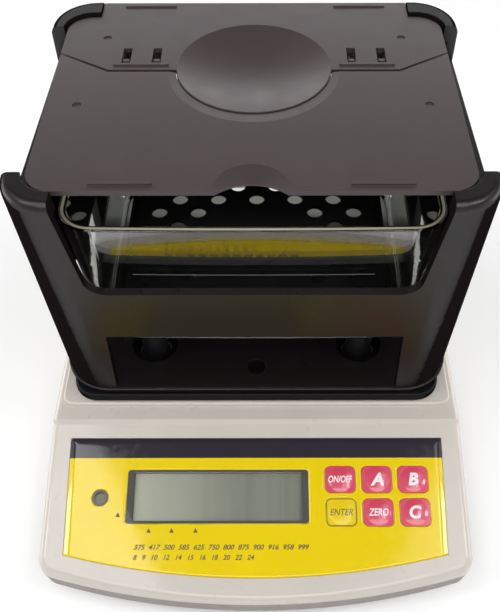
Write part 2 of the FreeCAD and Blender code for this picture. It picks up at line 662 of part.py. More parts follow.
def wall_window(points, y0, y1, radius):
    """Prism of a window, its lower corners rounded, cut straight through a wall.

    The points are (x, z), the wall lies between y0 and y1.
    """
    prism = Part.Face(polygon([(x, y0, z) for x, z in points])).extrude(V(0, y1 - y0, 0))
    low = min(z for _, z in points)
    corners = [e for e in prism.Edges
               if e.BoundBox.YLength > y1 - y0 - 0.1 and abs(e.BoundBox.Center.z - low) < 0.01]
    return prism.makeFillet(radius, corners)


def frame_openings():
    """Windows, slots and holes of the frame's walls and floor."""
    top = FRAME_TOP_Z + 4
    floor_top = FRAME_FLOOR_Z + FRAME_FLOOR_T
    _, front, rear, _ = FRAME_TOP
    ahead, behind = (front - 10, front + 22), (rear - 14, rear + 10)
    half, low, high = REAR_VIEW
    openings = [
        wall_window([(-WINDOW_HALF_W, SILL_Z), (WINDOW_HALF_W, SILL_Z), (WINDOW_HALF_W_TOP, top),
                     (-WINDOW_HALF_W_TOP, top)], *ahead, WINDOW_CORNER_R),
        wall_window([(-half, low), (half, low), (half, high), (-half, high)], *behind, WINDOW_CORNER_R),
        box(-TABLE_NOTCH_X - TABLE_FIT, TABLE_NOTCH_X + TABLE_FIT, *behind, LEDGE_Z, top),
    ]
    slot = [(-SLOT_HALF_W, floor_top), (SLOT_HALF_W, floor_top),
            (SLOT_HALF_W_TOP, SLOT_TOP_Z), (-SLOT_HALF_W_TOP, SLOT_TOP_Z)]
    for y0, y1 in (ahead, behind):
        openings.append(Part.Face(polygon([(x, y0, z) for x, z in slot])).extrude(V(0, y1 - y0, 0)))
    for x0, x1 in ((-110, -80), (80, 110)):
        openings.append(box(x0, x1, *SIDE_SPAN, SIDE_TOP_Z, top))
        openings.append(box(x0, x1, *SIDE_SLOT))
    openings += [rod(x, y, FRAME_FLOOR_Z - 1, floor_top + 1, LEG_HOLE_R) for x, y in leg_places()]
    openings.append(rod(0, DRAIN_Y, FRAME_FLOOR_Z - 1, floor_top + 1, DRAIN_R))
    return openings


def ledge(place, top):
    """Block of a ledge whose upper face is at a height."""
    *sides, thickness = place
    return box(*sides, top - thickness, top)


def measuring_frame():
    """The weighed frame: four corner posts with rims, a band, low sides and a floor."""
    outer = frame_block(FRAME_FLOOR_Z, FRAME_TOP_Z, 0)
    outer = round_edges(outer, RIM_ROUND, lambda c: c.z > FRAME_TOP_Z - 0.01)
    lip_top = FRAME_FLOOR_Z + FOOT_LIP_H
    lip = frame_block(FRAME_FLOOR_Z, lip_top, -FOOT_LIP)
    lip = round_edges(lip, FOOT_LIP_ROUND, lambda c: c.z > lip_top - 0.01)
    half, front, rear, r = RIM_INNER
    inside = frame_block(FRAME_FLOOR_Z + FRAME_FLOOR_T, FRAME_TOP_Z - RIM_H, FRAME_WALL)
    mouth = plate(-half, half, front, rear, r, FRAME_TOP_Z - RIM_H - 1, FRAME_TOP_Z + 1)
    shell = cut(fuse([outer, lip]), [inside, mouth] + frame_openings())

    def on_slot_edge(c):
        """Whether the edge is the outer upper one of the front slot."""
        return abs(c.z - SLOT_TOP_Z) < 0.01 and c.y < FRAME_BOTTOM[1] - 1 and abs(c.x) < 1

    shell = round_edges(shell, SLOT_ROUND, on_slot_edge)
    # Under the plates: pads in the front posts, a stepped rail at the rear sides, and the sockets.
    socket = box(SOCKET_X - SOCKET_HALF_W, SOCKET_X + SOCKET_HALF_W, *SOCKET_Y, SOCKET_LOW_Z, LEDGE_Z)
    pieces = [ledge(LID_PAD, LEDGE_Z), ledge(SIDE_SHELF, SIDE_TOP_Z), ledge(SHELF_RISER, LEDGE_Z),
              ledge(REAR_LEDGE, LEDGE_Z), socket]
    extras = []
    for piece in pieces:
        inner = piece.common(outer)
        extras += [inner, mirrored(inner)]
    pocket = box(SOCKET_X - POCKET_HALF_W, SOCKET_X + POCKET_HALF_W, *POCKET_Y, POCKET_LOW_Z, LEDGE_Z + 1)
    return cut(fuse([shell] + extras), [pocket, mirrored(pocket)])


# --- Top plates and what hangs from them --------------------------------------
def joint_line(offset):
    """Corner points of the joint between the plates, moved to the rear by the offset."""
    y_side = JOINT_SIDE_Y + offset
    return [(LID_HALF_W, y_side), (JOINT_KINK_X, JOINT_Y + offset),
            (-JOINT_KINK_X, JOINT_Y + offset), (-LID_HALF_W, y_side)]


def ridge(y, height):
    """Pair of low ridges across a plate, one each side."""
    top = LID_Z + height
    bars = []
    for s in (-1, 1):
        x0, x1 = sorted((s * RIB_X[0], s * RIB_X[1]))
        bars.append(plate(x0, x1, y - RIB_HALF_W, y + RIB_HALF_W, RIB_HALF_W - 0.01, LID_Z - 0.5, top))
    return bars


def front_lid():
    """Hinged front plate: dish cutout with a bevel, finger notch, ridges and hooks."""
    low = LID_Z - LID_T
    outline = plate(-LID_HALF_W, LID_HALF_W, LID_FRONT, JOINT_SIDE_Y + 30, LID_CORNER_R, low, LID_Z)
    points = joint_line(-JOINT_GAP / 2)
    behind = [(LID_HALF_W + 5, points[0][1] + 3)] + points + [(-LID_HALF_W - 5, points[3][1] + 3),
                                                             (-LID_HALF_W - 5, 120), (LID_HALF_W + 5, 120)]
    rear_zone = Part.Face(polygon([(x, y, low - 1) for x, y in behind])).extrude(V(0, 0, LID_T + 2))
    lid = outline.cut(rear_zone)
    rim = Part.Wire(Part.makeCircle(BEVEL_R, V(0, BEVEL_Y, LID_Z + 0.01)))
    foot = Part.Wire(Part.makeCircle(DISH_R + DISH_GAP - 0.05, V(0, DISH_Y, LID_Z - BEVEL_DROP)))
    lid = cut(lid, [
        rod(0, DISH_Y, low - 1, LID_Z + 1, DISH_R + DISH_GAP),
        Part.makeLoft([foot, rim], True, True),
        rod(0, LID_FRONT - NOTCH_AHEAD, low - 1, LID_Z + 1, NOTCH_R),
        Part.makeSphere(math.hypot(NOTCH_AHEAD, SCOOP_LIFT), V(0, SCOOP_Y, LID_Z + SCOOP_LIFT)),
    ] + [dimple(s * LID_DIMPLE[0], LID_DIMPLE[1]) for s in (-1, 1)])
    hooks = [hook(s * x) for s in (-1, 1) for x in HOOK_X]
    return fuse([lid] + ridge(*LID_RIB) + hooks)


def dimple(x, y):
    """Shallow round mark in a plate's top."""
    return rod(x, y, LID_Z - DIMPLE_DEPTH, LID_Z + 1, DIMPLE_R)


def hook(x):
    """Hinge hook: out of the lid's rear edge, under the rear plate's bar and up in its slot."""
    inner, outer = HOOK_R
    x0 = x - HOOK_W / 2
    ring = Part.makeCylinder(outer, HOOK_W, V(x0, HINGE_Y, HINGE_Z), V(1, 0, 0))
    ring = ring.cut(Part.makeCylinder(inner, HOOK_W + 2, V(x0 - 1, HINGE_Y, HINGE_Z), V(1, 0, 0)))
    low, high = HINGE_Z - 2 * outer, LID_Z - HOOK_TIP
    ring = ring.common(box(x0 - 1, x0 + HOOK_W + 1, HINGE_Y - 2 * outer, HINGE_Y + 2 * outer, low, high))
    root = box(x0, x0 + HOOK_W, HINGE_Y - outer - 2.5, HINGE_Y - inner - 0.3,
               LID_Z - LID_T - 1.4, high)
    return fuse([ring, root])


def rear_table():
    """Fixed rear plate with the air-weighing dish, hinge slots and plug-in tongues."""
    low = LID_Z - LID_T
    main = plate(-LID_HALF_W, LID_HALF_W, 20, TABLE_CORNER_Y, LID_CORNER_R, low, LID_Z)
    back = box(-TABLE_NOTCH_X, TABLE_NOTCH_X, TABLE_CORNER_Y - 12, TABLE_REAR, low, LID_Z)
    points = joint_line(JOINT_GAP / 2)
    ahead = [(LID_HALF_W + 5, points[0][1] + 3)] + points + [(-LID_HALF_W - 5, points[3][1] + 3),
                                                            (-LID_HALF_W - 5, 0), (LID_HALF_W + 5, 0)]
    front_zone = Part.Face(polygon([(x, y, low - 1) for x, y in ahead])).extrude(V(0, 0, LID_T + 2))
    body = fuse([main, back]).cut(front_zone)
    disc = round_edges(rod(0, DISH_Y, low, LID_Z, DISH_R), DISH_ROUND, lambda c: c.z > LID_Z - 0.01)
    bowl_r = (DISH_R ** 2 + DISH_DEPTH ** 2) / (2 * DISH_DEPTH)
    centre = V(0, DISH_Y, LID_Z + bowl_r - DISH_DEPTH)
    below = rod(0, DISH_Y, LID_Z - 2 * DISH_DEPTH, low + 0.5, DISH_R - 0.8)
    shell = Part.makeSphere(bowl_r + LID_T, centre).common(below)
    body = fuse([body, disc, shell])
    body = body.cut(Part.makeSphere(bowl_r - DISH_SKIM, centre))
    slots = []
    for s in (-1, 1):
        for x in HOOK_X:
            slots.append(box(s * x - SLOT_W / 2, s * x + SLOT_W / 2, *SLOT_Y, low - 1, LID_Z + 1))
        slots.append(dimple(s * TABLE_DIMPLE[0], TABLE_DIMPLE[1]))
    body = cut(body, slots)
    tongues = []
    for s in (-1, 1):
        middle = s * SOCKET_X
        tongues.append(box(middle - TONGUE_HALF_W, middle + TONGUE_HALF_W, *TONGUE_Y,
                           TONGUE_LOW_Z, low + 0.5))
        # Pocket that the basket's arm plugs into.
        arm_x = s * ARM_X
        lug = box(arm_x - ARM_LUG, arm_x + ARM_LUG, ARM_Y[0] - 2, ARM_Y[1] + 2,
                  low - ARM_LUG_H, low + 0.5)
        slit = box(arm_x - ARM_T / 2, arm_x + ARM_T / 2, *ARM_Y, low - ARM_LUG_H - 1, low - 0.5)
        tongues.append(cut(lug, [slit, arm_screw_shank(s)]))
    ridges = [bar for rib in TABLE_RIBS for bar in ridge(*rib)]
    return fuse([body] + ridges + tongues)


def basket_holes():
    """Places of the basket's holes: staggered rows that miss the middle and the edge."""
    x0, x1 = BASKET[0] + 8, BASKET[1] - 8
    places = []
    for row, y in enumerate(HOLE_ROWS):
        shift = HOLE_PITCH / 2 if row % 2 == 0 else 0
        for column in range(-4, 5):
            x = column * HOLE_PITCH + shift
            if x0 < x < x1 and math.hypot(x, y - BLANK_Y) > BLANK_R:
                places.append((x, y))
    return places


def sample_basket():
    """Perforated plate on two side arms that plug into the rear plate."""
    x0, x1, y0, y1 = BASKET
    z0, z1 = BASKET_Z
    w, rise = BASKET_LIP
    tray = plate(x0, x1, y0, y1, BASKET_R, z0, z1 + rise)
    tray = tray.cut(plate(x0 + w, x1 - w, y0 + w, y1 - w, BASKET_R - w, z1, z1 + rise + 1))
    tray = fuse([tray, rod(0, BLANK_Y, z0, z1 + BLANK_DISC[1], BLANK_DISC[0])])
    tray = cut(tray, [rod(x, y, z0 - 1, z1 + 3, HOLE_R) for x, y in basket_holes()])
    high = LID_Z - LID_T - 0.5
    arms = [box(s * ARM_X - ARM_T / 2, s * ARM_X + ARM_T / 2, *ARM_Y, z0, high) for s in (-1, 1)]
    return cut(fuse([tray] + arms), [arm_screw_shank(s) for s in (-1, 1)])


def arm_screw_start(side):
    """Middle of an arm screw's seat on the lug's outer face."""
    return V(side * (ARM_X + ARM_LUG), (ARM_Y[0] + ARM_Y[1]) / 2, LID_Z - LID_T - ARM_SCREW_DROP)


def arm_screw_shank(side):
    """Shank of the screw that holds one arm, from the lug's outer face inwards."""
    return Part.makeCylinder(ARM_SCREW_R, ARM_LUG + ARM_T, arm_screw_start(side), V(-side, 0, 0))


def basket_screws():
    """Screw through each lug into the arm."""
    radius, height = ARM_SCREW_HEAD
    return Part.makeCompound([
        fuse([arm_screw_shank(s), Part.makeCylinder(radius, height, arm_screw_start(s), V(s, 0, 0))])
        for s in (-1, 1)])


def tank_section(z, inset):
    """Wire of the tank's plan at one height, moved in by the inset, its front a little bowed."""
    t = (z - TABLE_TOP_Z) / (TANK_TOP_Z - TABLE_TOP_Z)
    half, front, rear, r = (a + (b - a) * t for a, b in zip(TANK_BOTTOM, TANK_TOP))
    plain = rounded_rect(-half + inset, half - inset, front + inset, rear - inset, r - inset, z)
    return Part.Wire([bowed(e, TANK_BOW) if is_front_run(e, front + inset) else e
                      for e in plain.OrderedEdges])


def is_front_run(edge, y):
    """Whether an edge is the straight run along a plan's front at y."""
    size = edge.BoundBox
    return size.YLength < 0.01 and abs(size.YMin - y) < 0.01


def bowed(edge, bow):
    """Arc between a front run's ends whose middle stands ahead of them."""
    first, last = (v.Point for v in edge.Vertexes)
    middle = (first + last) * 0.5 - V(0, bow, 0)
    return Part.Arc(first, middle, last).toShape()


def water_tank():
    """Clear open tank: its walls lean out a little and its corners are round."""
    body = Part.makeLoft([tank_section(TABLE_TOP_Z, 0), tank_section(TANK_TOP_Z, 0)], True, True)
    body = round_edges(body, TANK_ROUND, lambda c: c.z < TABLE_TOP_Z + 0.01)
    floor_top = TABLE_TOP_Z + TANK_WALL
    inside = [tank_section(z, TANK_WALL) for z in (floor_top, TANK_TOP_Z + 1)]
    well = Part.makeLoft(inside, True, True)
    well = round_edges(well, TANK_ROUND, lambda c: c.z < floor_top + 0.01)
    return round_edges(body.cut(well), TANK_RIM_ROUND, lambda c: c.z > TANK_TOP_Z - 0.01)


def tank_stand():
    """Table that carries the tank, on four legs that reach the deck through the frame."""
    under = TABLE_TOP_Z - TABLE_T
    low, half = under - TABLE_RIB_H, TABLE_RIB_T / 2
    top = plate(-TABLE_HALF_W, TABLE_HALF_W, LEG_Y[0] - 12, LEG_Y[1] + 14, 12, under, TABLE_TOP_Z)
    ribs = [box(-LEG_X, LEG_X, y - half, y + half, low, under + 1) for y in LEG_Y]
    ribs += [box(s * LEG_X - half, s * LEG_X + half, *LEG_Y, low, under + 1) for s in (-1, 1)]
    table = cut(fuse([top] + ribs), [rod(x, y, low - 1, under, LEG_R) for x, y in leg_places()])
    legs = [rod(x, y, PLINTH_Z + SHOE_H, under, LEG_R) for x, y in leg_places()]
    shoes = [rod(x, y, PLINTH_Z, PLINTH_Z + SHOE_H, LEG_R + 1) for x, y in leg_places()]
    return {
        "tank_stand_table": table,
        "tank_stand_legs": Part.makeCompound(legs),
        "tank_stand_shoes": Part.makeCompound(shoes),
    }


def all_parts():
    """Every node of the tester by name."""
    parts = {
        "lower_housing": lower_housing(),
        "upper_housing": upper_housing(),
        "housing_screws": housing_screws(),
    }
    parts.update(panel_parts())
    parts.update(electronics())
    parts.update(feet())
    parts.update(load_cell_parts())
    parts["weighing_pan"] = weighing_pan()
    parts["pan_pads"] = pan_pads()
    parts["measuring_frame"] = measuring_frame()
    parts["front_lid"] = front_lid()
    parts["rear_table"] = rear_table()
    parts["sample_basket"] = sample_basket()
    parts["basket_screws"] = basket_screws()
    parts["water_tank"] = water_tank()
    parts.update(tank_stand())
    return parts


os.makedirs("parts", exist_ok=True)
for node, solid in all_parts().items():
    solid.exportStep("parts/%s.step" % node)
    print(node, len(solid.Solids), solid.isValid(), round(solid.Volume / 1000, 2), "cm3")
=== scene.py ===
import json
import logging
import math
from dataclasses import dataclass, field
from enum import Enum
from typing import Callable, Iterable, Sequence

import bmesh
import bpy
from mathutils import Matrix, Vector


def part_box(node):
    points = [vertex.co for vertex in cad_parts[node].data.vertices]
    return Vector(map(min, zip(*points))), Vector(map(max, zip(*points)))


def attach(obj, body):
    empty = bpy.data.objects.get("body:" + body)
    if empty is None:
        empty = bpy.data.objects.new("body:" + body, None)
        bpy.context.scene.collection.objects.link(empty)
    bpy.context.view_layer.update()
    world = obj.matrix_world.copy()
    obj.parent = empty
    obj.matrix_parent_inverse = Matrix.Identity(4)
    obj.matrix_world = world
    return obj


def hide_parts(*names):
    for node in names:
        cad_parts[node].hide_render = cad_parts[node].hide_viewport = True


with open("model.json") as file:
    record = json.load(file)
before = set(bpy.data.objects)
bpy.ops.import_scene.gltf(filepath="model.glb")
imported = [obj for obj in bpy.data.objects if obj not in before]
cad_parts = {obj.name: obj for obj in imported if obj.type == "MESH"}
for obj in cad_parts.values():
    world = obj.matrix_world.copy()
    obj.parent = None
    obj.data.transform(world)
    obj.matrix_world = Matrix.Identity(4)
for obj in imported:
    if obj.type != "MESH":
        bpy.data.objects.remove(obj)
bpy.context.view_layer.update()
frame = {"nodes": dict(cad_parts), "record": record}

log = logging.getLogger("gold_tester")

MM = 0.001
Colour = tuple[float, float, float]
Point = tuple[float, float]
Socket = bpy.types.NodeSocket

NOISE_SPAN = (0.3, 0.7)     # most values of a noise lie between these
CUTTER_REACH = 2 * MM       # how far a cutter goes beyond the panel's surface, both ways


# --- Node graphs -----------------------------------------------------------------
class Grain(Enum):
    """How a moulded surface is textured: size in metres and depth in metres."""

    POLISHED = (0.9 * MM, 0.0)
    SATIN = (0.35 * MM, 0.004 * MM)
    SPARKED = (0.5 * MM, 0.012 * MM)
    RUBBER = (0.7 * MM, 0.03 * MM)


class Graph:
    """Short way to write the node tree of one material."""

    def __init__(self, name: str) -> None:
        """Start an empty material.

        Args:
            name: the material's name.
        """
        self.material = bpy.data.materials.new(name)
        self.material.use_nodes = True
        self.tree = self.material.node_tree
        self.tree.nodes.clear()
        self.output = self.tree.nodes.new("ShaderNodeOutputMaterial")

    def node(self, kind: str, inputs: dict[str | int, object] | None = None,
             **settings: object) -> bpy.types.Node:
        """Add a node.

        Args:
            kind: the node's type name without its ShaderNode prefix.
            inputs: values or sockets for its inputs, by input name.
            settings: attributes to set on the node.

        Returns:
            The new node.
        """
        made = self.tree.nodes.new("ShaderNode" + kind)
        for key, value in settings.items():
            setattr(made, key, value)
        for key, value in (inputs or {}).items():
            self.feed(made.inputs[key], value)
        return made

    def feed(self, socket: Socket, value: object) -> None:
        """Set a socket's value, or link another socket to it.

        Args:
            socket: the input to fill.
            value: a number, a tuple or an output socket.
        """
        if isinstance(value, bpy.types.NodeSocket):
            self.tree.links.new(value, socket)
        else:
            socket.default_value = value

    def surface(self, socket: Socket) -> bpy.types.Material:
        """Send a shader to the output and return the material."""
        self.tree.links.new(socket, self.output.inputs["Surface"])
        return self.material

    def place(self, scale: Sequence[float] = (1.0, 1.0, 1.0)) -> Socket:
        """The surface's own coordinates, stretched by a scale along each axis."""
        coords = self.node("TexCoord").outputs["Object"]
        return self.node("Mapping", {"Vector": coords, "Scale": scale}).outputs["Vector"]

    def noise(self, size: float, detail: float = 2.0,
              stretch: Sequence[float] = (1.0, 1.0, 1.0)) -> Socket:
        """Soft random value.

        Args:
            size: width of one blotch in metres.
            detail: number of finer layers.
            stretch: scale along each axis, under 1 draws the blotches out.

        Returns:
            The value's socket.
        """
        place = self.place(stretch)
        made = self.node("TexNoise", {"Vector": place, "Scale": 1 / size, "Detail": detail})
        return made.outputs["Fac"]

    def ramp(self, value: Socket, low: float, high: float,
             to_low: float = 0.0, to_high: float = 1.0) -> Socket:
        """Stretch a value from one range to another and clamp it there.

        Args:
            value: the value to stretch.
            low: value that becomes to_low.
            high: value that becomes to_high.
            to_low: start of the new range.
            to_high: end of the new range.

        Returns:
            The new value's socket.
        """
        made = self.node("MapRange", {"Value": value, "From Min": low, "From Max": high,
                                      "To Min": to_low, "To Max": to_high})
        return made.outputs["Result"]

    def mix(self, factor: Socket, first: Colour | Socket, second: Colour | Socket) -> Socket:
        """Mix two colours.

        Args:
            factor: share of the second colour.
            first: one colour.
            second: the other.

        Returns:
            The mixed colour's socket.
        """
        made = self.node("Mix", data_type="RGBA")
        self.feed(made.inputs[0], factor)
        for socket, value in ((made.inputs[6], first), (made.inputs[7], second)):
            self.feed(socket, (*value, 1.0) if isinstance(value, tuple) else value)
        return made.outputs[2]

    def bump(self, height: Socket, depth: float, normal: Socket | None = None) -> Socket:
        """Raise the surface by a height from 0 to 1 times a depth.

        Args:
            height: where it is raised, from 0 to 1.
            depth: how far, in metres.
            normal: a normal to start from.

        Returns:
            The new normal's socket.
        """
        made = self.node("Bump", {"Height": height, "Distance": depth, "Strength": 1.0})
        if normal is not None:
            self.feed(made.inputs["Normal"], normal)
        return made.outputs["Normal"]


def shade(colour: Colour, factor: float) -> Colour:
    """The colour made lighter or darker by a factor."""
    return tuple(min(1.0, c * factor) for c in colour)


# --- Finishes --------------------------------------------------------------------
MOULD_CLOUD = 24 * MM       # size of a moulding's slow changes of colour
MOULD_TINT = 0.06           # how far they reach
MOULD_WEAR = 7 * MM         # size of its changes of gloss
DUST_SPACING = 11 * MM      # mean distance between specks
DUST_RIM = (0.018, 0.028)   # a speck's edge, as a share of that distance
DUST_COLOUR = (0.42, 0.40, 0.40)
GRAZING_SPAN = (0.3, 0.6)   # how far a surface turns away while its reflection weakens


@dataclass(frozen=True)
class Moulded:
    """Injection-moulded plastic or rubber.

    Attributes:
        colour: base colour.
        roughness: mean roughness of the surface.
        grain: fine texture of the mould.
        specular: strength of the reflection, 0.5 is a plain plastic.
        coat: share of a clear gloss over the surface.
        grazing: share of the reflection that is left where the surface turns away.
        edge: radius to which sharp edges are softened, in metres.
        dust: share of the surface that carries light specks.
    """

    colour: Colour
    roughness: float
    grain: Grain = Grain.SATIN
    specular: float = 0.5
    coat: float = 0.0
    grazing: float = 1.0
    edge: float = 0.0
    dust: float = 0.0

    def build(self, name: str) -> bpy.types.Material:
        """Make the material.

        Args:
            name: the material's name.

        Returns:
            The new material.
        """
        g = Graph(name)
        size, depth = self.grain.value
        cloud = g.noise(MOULD_CLOUD, 3.0)
        colour = g.mix(cloud, shade(self.colour, 1 - MOULD_TINT), shade(self.colour, 1 + MOULD_TINT))
        if self.dust > 0:
            cells = g.node("TexVoronoi", {"Vector": g.place(), "Scale": 1 / DUST_SPACING})
            near = g.ramp(cells.outputs["Distance"], *DUST_RIM, 1.0, 0.0)
            kept = g.ramp(cells.outputs["Color"], 1 - self.dust, 1 - self.dust + 0.01)
            speck = g.node("Math", {0: near, 1: kept}, operation="MULTIPLY").outputs[0]
            colour = g.mix(speck, colour, DUST_COLOUR)
        wear = g.noise(MOULD_WEAR, 4.0)
        rough = g.ramp(wear, *NOISE_SPAN, self.roughness * 0.9, self.roughness * 1.1)
        normal = None
        if self.edge > 0:
            normal = g.node("Bevel", {"Radius": self.edge}, samples=4).outputs["Normal"]
        if depth > 0:
            normal = g.bump(g.noise(size, 2.0), depth, normal)
        inputs = {"Base Color": colour, "Roughness": rough, "Specular IOR Level": self.specular}
        if self.grazing < 1:
            away = g.node("LayerWeight", {"Blend": 0.5}).outputs["Facing"]
            inputs["Specular IOR Level"] = g.ramp(
                away, *GRAZING_SPAN, self.specular, self.specular * self.grazing)
        if self.coat > 0:
            inputs.update({"Coat Weight": self.coat, "Coat Roughness": 0.06})
        if normal is not None:
            inputs["Normal"] = normal
            if self.coat > 0:
                inputs["Coat Normal"] = normal
        return g.surface(g.node("BsdfPrincipled", inputs).outputs[0])


METAL_MARKS = 0.5 * MM      # width of a tool mark
METAL_DEPTH = 0.004 * MM    # depth of a tool mark


@dataclass(frozen=True)
class Metal:
    """Machined or plated metal.

    Attributes:
        colour: reflected colour.
        roughness: mean roughness.
        stretch: scale of the tool marks along each axis.
    """

    colour: Colour
    roughness: float
    stretch: tuple[float, float, float] = (1.0, 0.05, 1.0)

    def build(self, name: str) -> bpy.types.Material:
        """Make the material.

        Args:
            name: the material's name.

        Returns:
            The new material.
        """
        g = Graph(name)
        marks = g.noise(METAL_MARKS, 3.0, self.stretch)
        rough = g.ramp(marks, *NOISE_SPAN, self.roughness * 0.75, self.roughness * 1.25)
        colour = g.mix(marks, shade(self.colour, 0.92), shade(self.colour, 1.04))
        normal = g.bump(marks, METAL_DEPTH)
        return g.surface(g.node("BsdfPrincipled", {
            "Base Color": colour, "Roughness": rough, "Metallic": 1.0, "Normal": normal}).outputs[0])


CLEAR_SMEARS = 14 * MM      # size of the smears on a clear piece
CLEAR_WAVES = 18 * MM       # size of the unevenness of its walls
SMEAR_HAZE = 0.03           # roughness that a smear adds


@dataclass(frozen=True)
class Clear:
    """Clear moulded plastic or glass that lets light through to what is behind it.

    Attributes:
        tint: colour of the light that passes.
        roughness: haze of the surface.
        ior: how strongly it bends light.
        waviness: depth of the slow unevenness of the walls, in metres.
        gloss: share of a second polished layer over the surface.
    """

    tint: Colour
    roughness: float = 0.0
    ior: float = 1.49
    waviness: float = 0.0
    gloss: float = 0.0

    def build(self, name: str) -> bpy.types.Material:
        """Make the material.

        Args:
            name: the material's name.

        Returns:
            The new material.
        """
        g = Graph(name)
        inputs = {"Base Color": (*self.tint, 1.0), "Transmission Weight": 1.0, "IOR": self.ior}
        smears = g.noise(CLEAR_SMEARS, 3.0)
        inputs["Roughness"] = g.ramp(smears, 0.45, 0.75, self.roughness, self.roughness + SMEAR_HAZE)
        if self.gloss > 0:
            inputs.update({"Coat Weight": self.gloss, "Coat Roughness": 0.01, "Coat IOR": 1.6})
        if self.waviness > 0:
            inputs["Normal"] = g.bump(g.noise(CLEAR_WAVES, 0.0), self.waviness)
        body = g.node("BsdfPrincipled", inputs).outputs[0]
        through = g.node("BsdfTransparent", {"Color": (*self.tint, 1.0)}).outputs[0]
        shadow = g.node("LightPath").outputs["Is Shadow Ray"]
        mixed = g.node("MixShader", {0: shadow})
        g.feed(mixed.inputs[1], body)
        g.feed(mixed.inputs[2], through)
        return g.surface(mixed.outputs[0])


INK_CLOUD = 16 * MM         # size of the ink's slow changes of colour
INK_TINT = 0.04             # how far they reach
FILM_SMEARS = 4 * MM        # size of the smears on the film
FILM_WAVES = 9 * MM         # size of the film's unevenness
FILM_WAVE_DEPTH = 0.01 * MM


@dataclass(frozen=True)
class PrintedFilm:
    """Glossy film with its colour printed on the back.

    Attributes:
        colour: printed colour.
        roughness: roughness of the ink under the gloss.
        haze: roughness of the gloss itself.
    """

    colour: Colour
    roughness: float = 0.35
    haze: float = 0.09

    def build(self, name: str) -> bpy.types.Material:
        """Make the material.

        Args:
            name: the material's name.

        Returns:
            The new material.
        """
        g = Graph(name)
        ink = g.noise(INK_CLOUD, 2.0)
        colour = g.mix(ink, shade(self.colour, 1 - INK_TINT), shade(self.colour, 1 + INK_TINT))
        smears = g.noise(FILM_SMEARS, 4.0)
        haze = g.ramp(smears, 0.35, 0.75, self.haze * 0.6, self.haze * 1.8)
        normal = g.bump(g.noise(FILM_WAVES, 1.0), FILM_WAVE_DEPTH)
        return g.surface(g.node("BsdfPrincipled", {
            "Base Color": colour, "Roughness": self.roughness, "Specular IOR Level": 0.05,
            "Coat Weight": 1.0, "Coat Roughness": haze, "Coat Normal": normal}).outputs[0])


SHEEN_STREAK_WIDTH = 3 * MM       # width of a painted sheen stripe on the display's glass


@dataclass(frozen=True)
class LiquidCrystal:
    """Reflective display glass: grey-green, made paler at the left by a painted reflection, with fine upright
    lines of painted sheen.

    Attributes:
        pale: colour at the left, lightened by a painted reflection.
        deep: colour at the right.
        left: X at which it is palest, in metres.
        right: X at which it is deepest, in metres.
    """

    pale: Colour
    deep: Colour
    left: float
    right: float

    def build(self, name: str) -> bpy.types.Material:
        """Make the material.

        Args:
            name: the material's name.

        Returns:
            The new material.
        """
        g = Graph(name)
        along = g.node("SeparateXYZ", {"Vector": g.place()}).outputs["X"]
        # painted reflection: the colour runs from pale at the left to deep at the right
        across = g.ramp(along, self.left, self.right)
        sheen_streaks = g.noise(SHEEN_STREAK_WIDTH, 2.0, (1.0, 0.02, 0.02))
        colour = g.mix(across, self.pale, self.deep)
        # painted sheen: upright lines lighten the colour towards a brighter pale
        lit = g.mix(g.ramp(sheen_streaks, 0.35, 0.75, 0.0, 0.12), colour, shade(self.pale, 1.2))
        return g.surface(g.node("BsdfPrincipled", {
            "Base Color": lit, "Roughness": 0.28, "Specular IOR Level": 0.5}).outputs[0])


PLATE_GRAIN = 0.6 * MM      # size of the plate's texture
PLATE_DEPTH = 0.006 * MM    # its depth


@dataclass(frozen=True)
class PaintedRearLightPlate:
    """Moulded plate with painted light and shade: pale towards the rear from painted light, dark towards the
    front from painted shade.

    Attributes:
        pale: painted lit colour at the rear.
        dark: painted shade colour at the front.
        rear: Y behind which it is pale, in metres.
        front: Y ahead of which it is dark, in metres.
    """

    pale: Colour
    dark: Colour
    rear: float
    front: float

    def build(self, name: str) -> bpy.types.Material:
        """Make the material.

        Args:
            name: the material's name.

        Returns:
            The new material.
        """
        g = Graph(name)
        along = g.node("SeparateXYZ", {"Vector": g.place()}).outputs["Y"]
        # painted light and shade: pale at the rear, dark at the front
        colour = g.mix(g.ramp(along, self.front, self.rear), self.dark, self.pale)
        normal = g.bump(g.noise(PLATE_GRAIN, 2.0), PLATE_DEPTH)
        return g.surface(g.node("BsdfPrincipled", {
            "Base Color": colour, "Roughness": 0.5, "Normal": normal}).outputs[0])


@dataclass(frozen=True)
class Board:
    """Circuit board: green resist over a grid of copper tracks.

    Attributes:
        resist: colour of the resist.
        tracks: colour of the resist over the tracks.
        grid: size of the grid's cells, in metres.
    """

    resist: Colour = (0.02, 0.11, 0.05)
    tracks: Colour = (0.05, 0.2, 0.09)
    grid: float = 6 * MM

    def build(self, name: str) -> bpy.types.Material:
        """Make the material.

        Args:
            name: the material's name.

        Returns:
            The new material.
        """
        g = Graph(name)
        lines = g.node("TexBrick", {"Vector": g.place(), "Scale": 1 / self.grid, "Mortar Size": 0.06,
                                    "Color1": (0, 0, 0, 1), "Color2": (0, 0, 0, 1),
                                    "Mortar": (1, 1, 1, 1)})
        colour = g.mix(lines.outputs["Color"], self.resist, self.tracks)
        return g.surface(g.node("BsdfPrincipled", {"Base Color": colour, "Roughness": 0.35}).outputs[0])


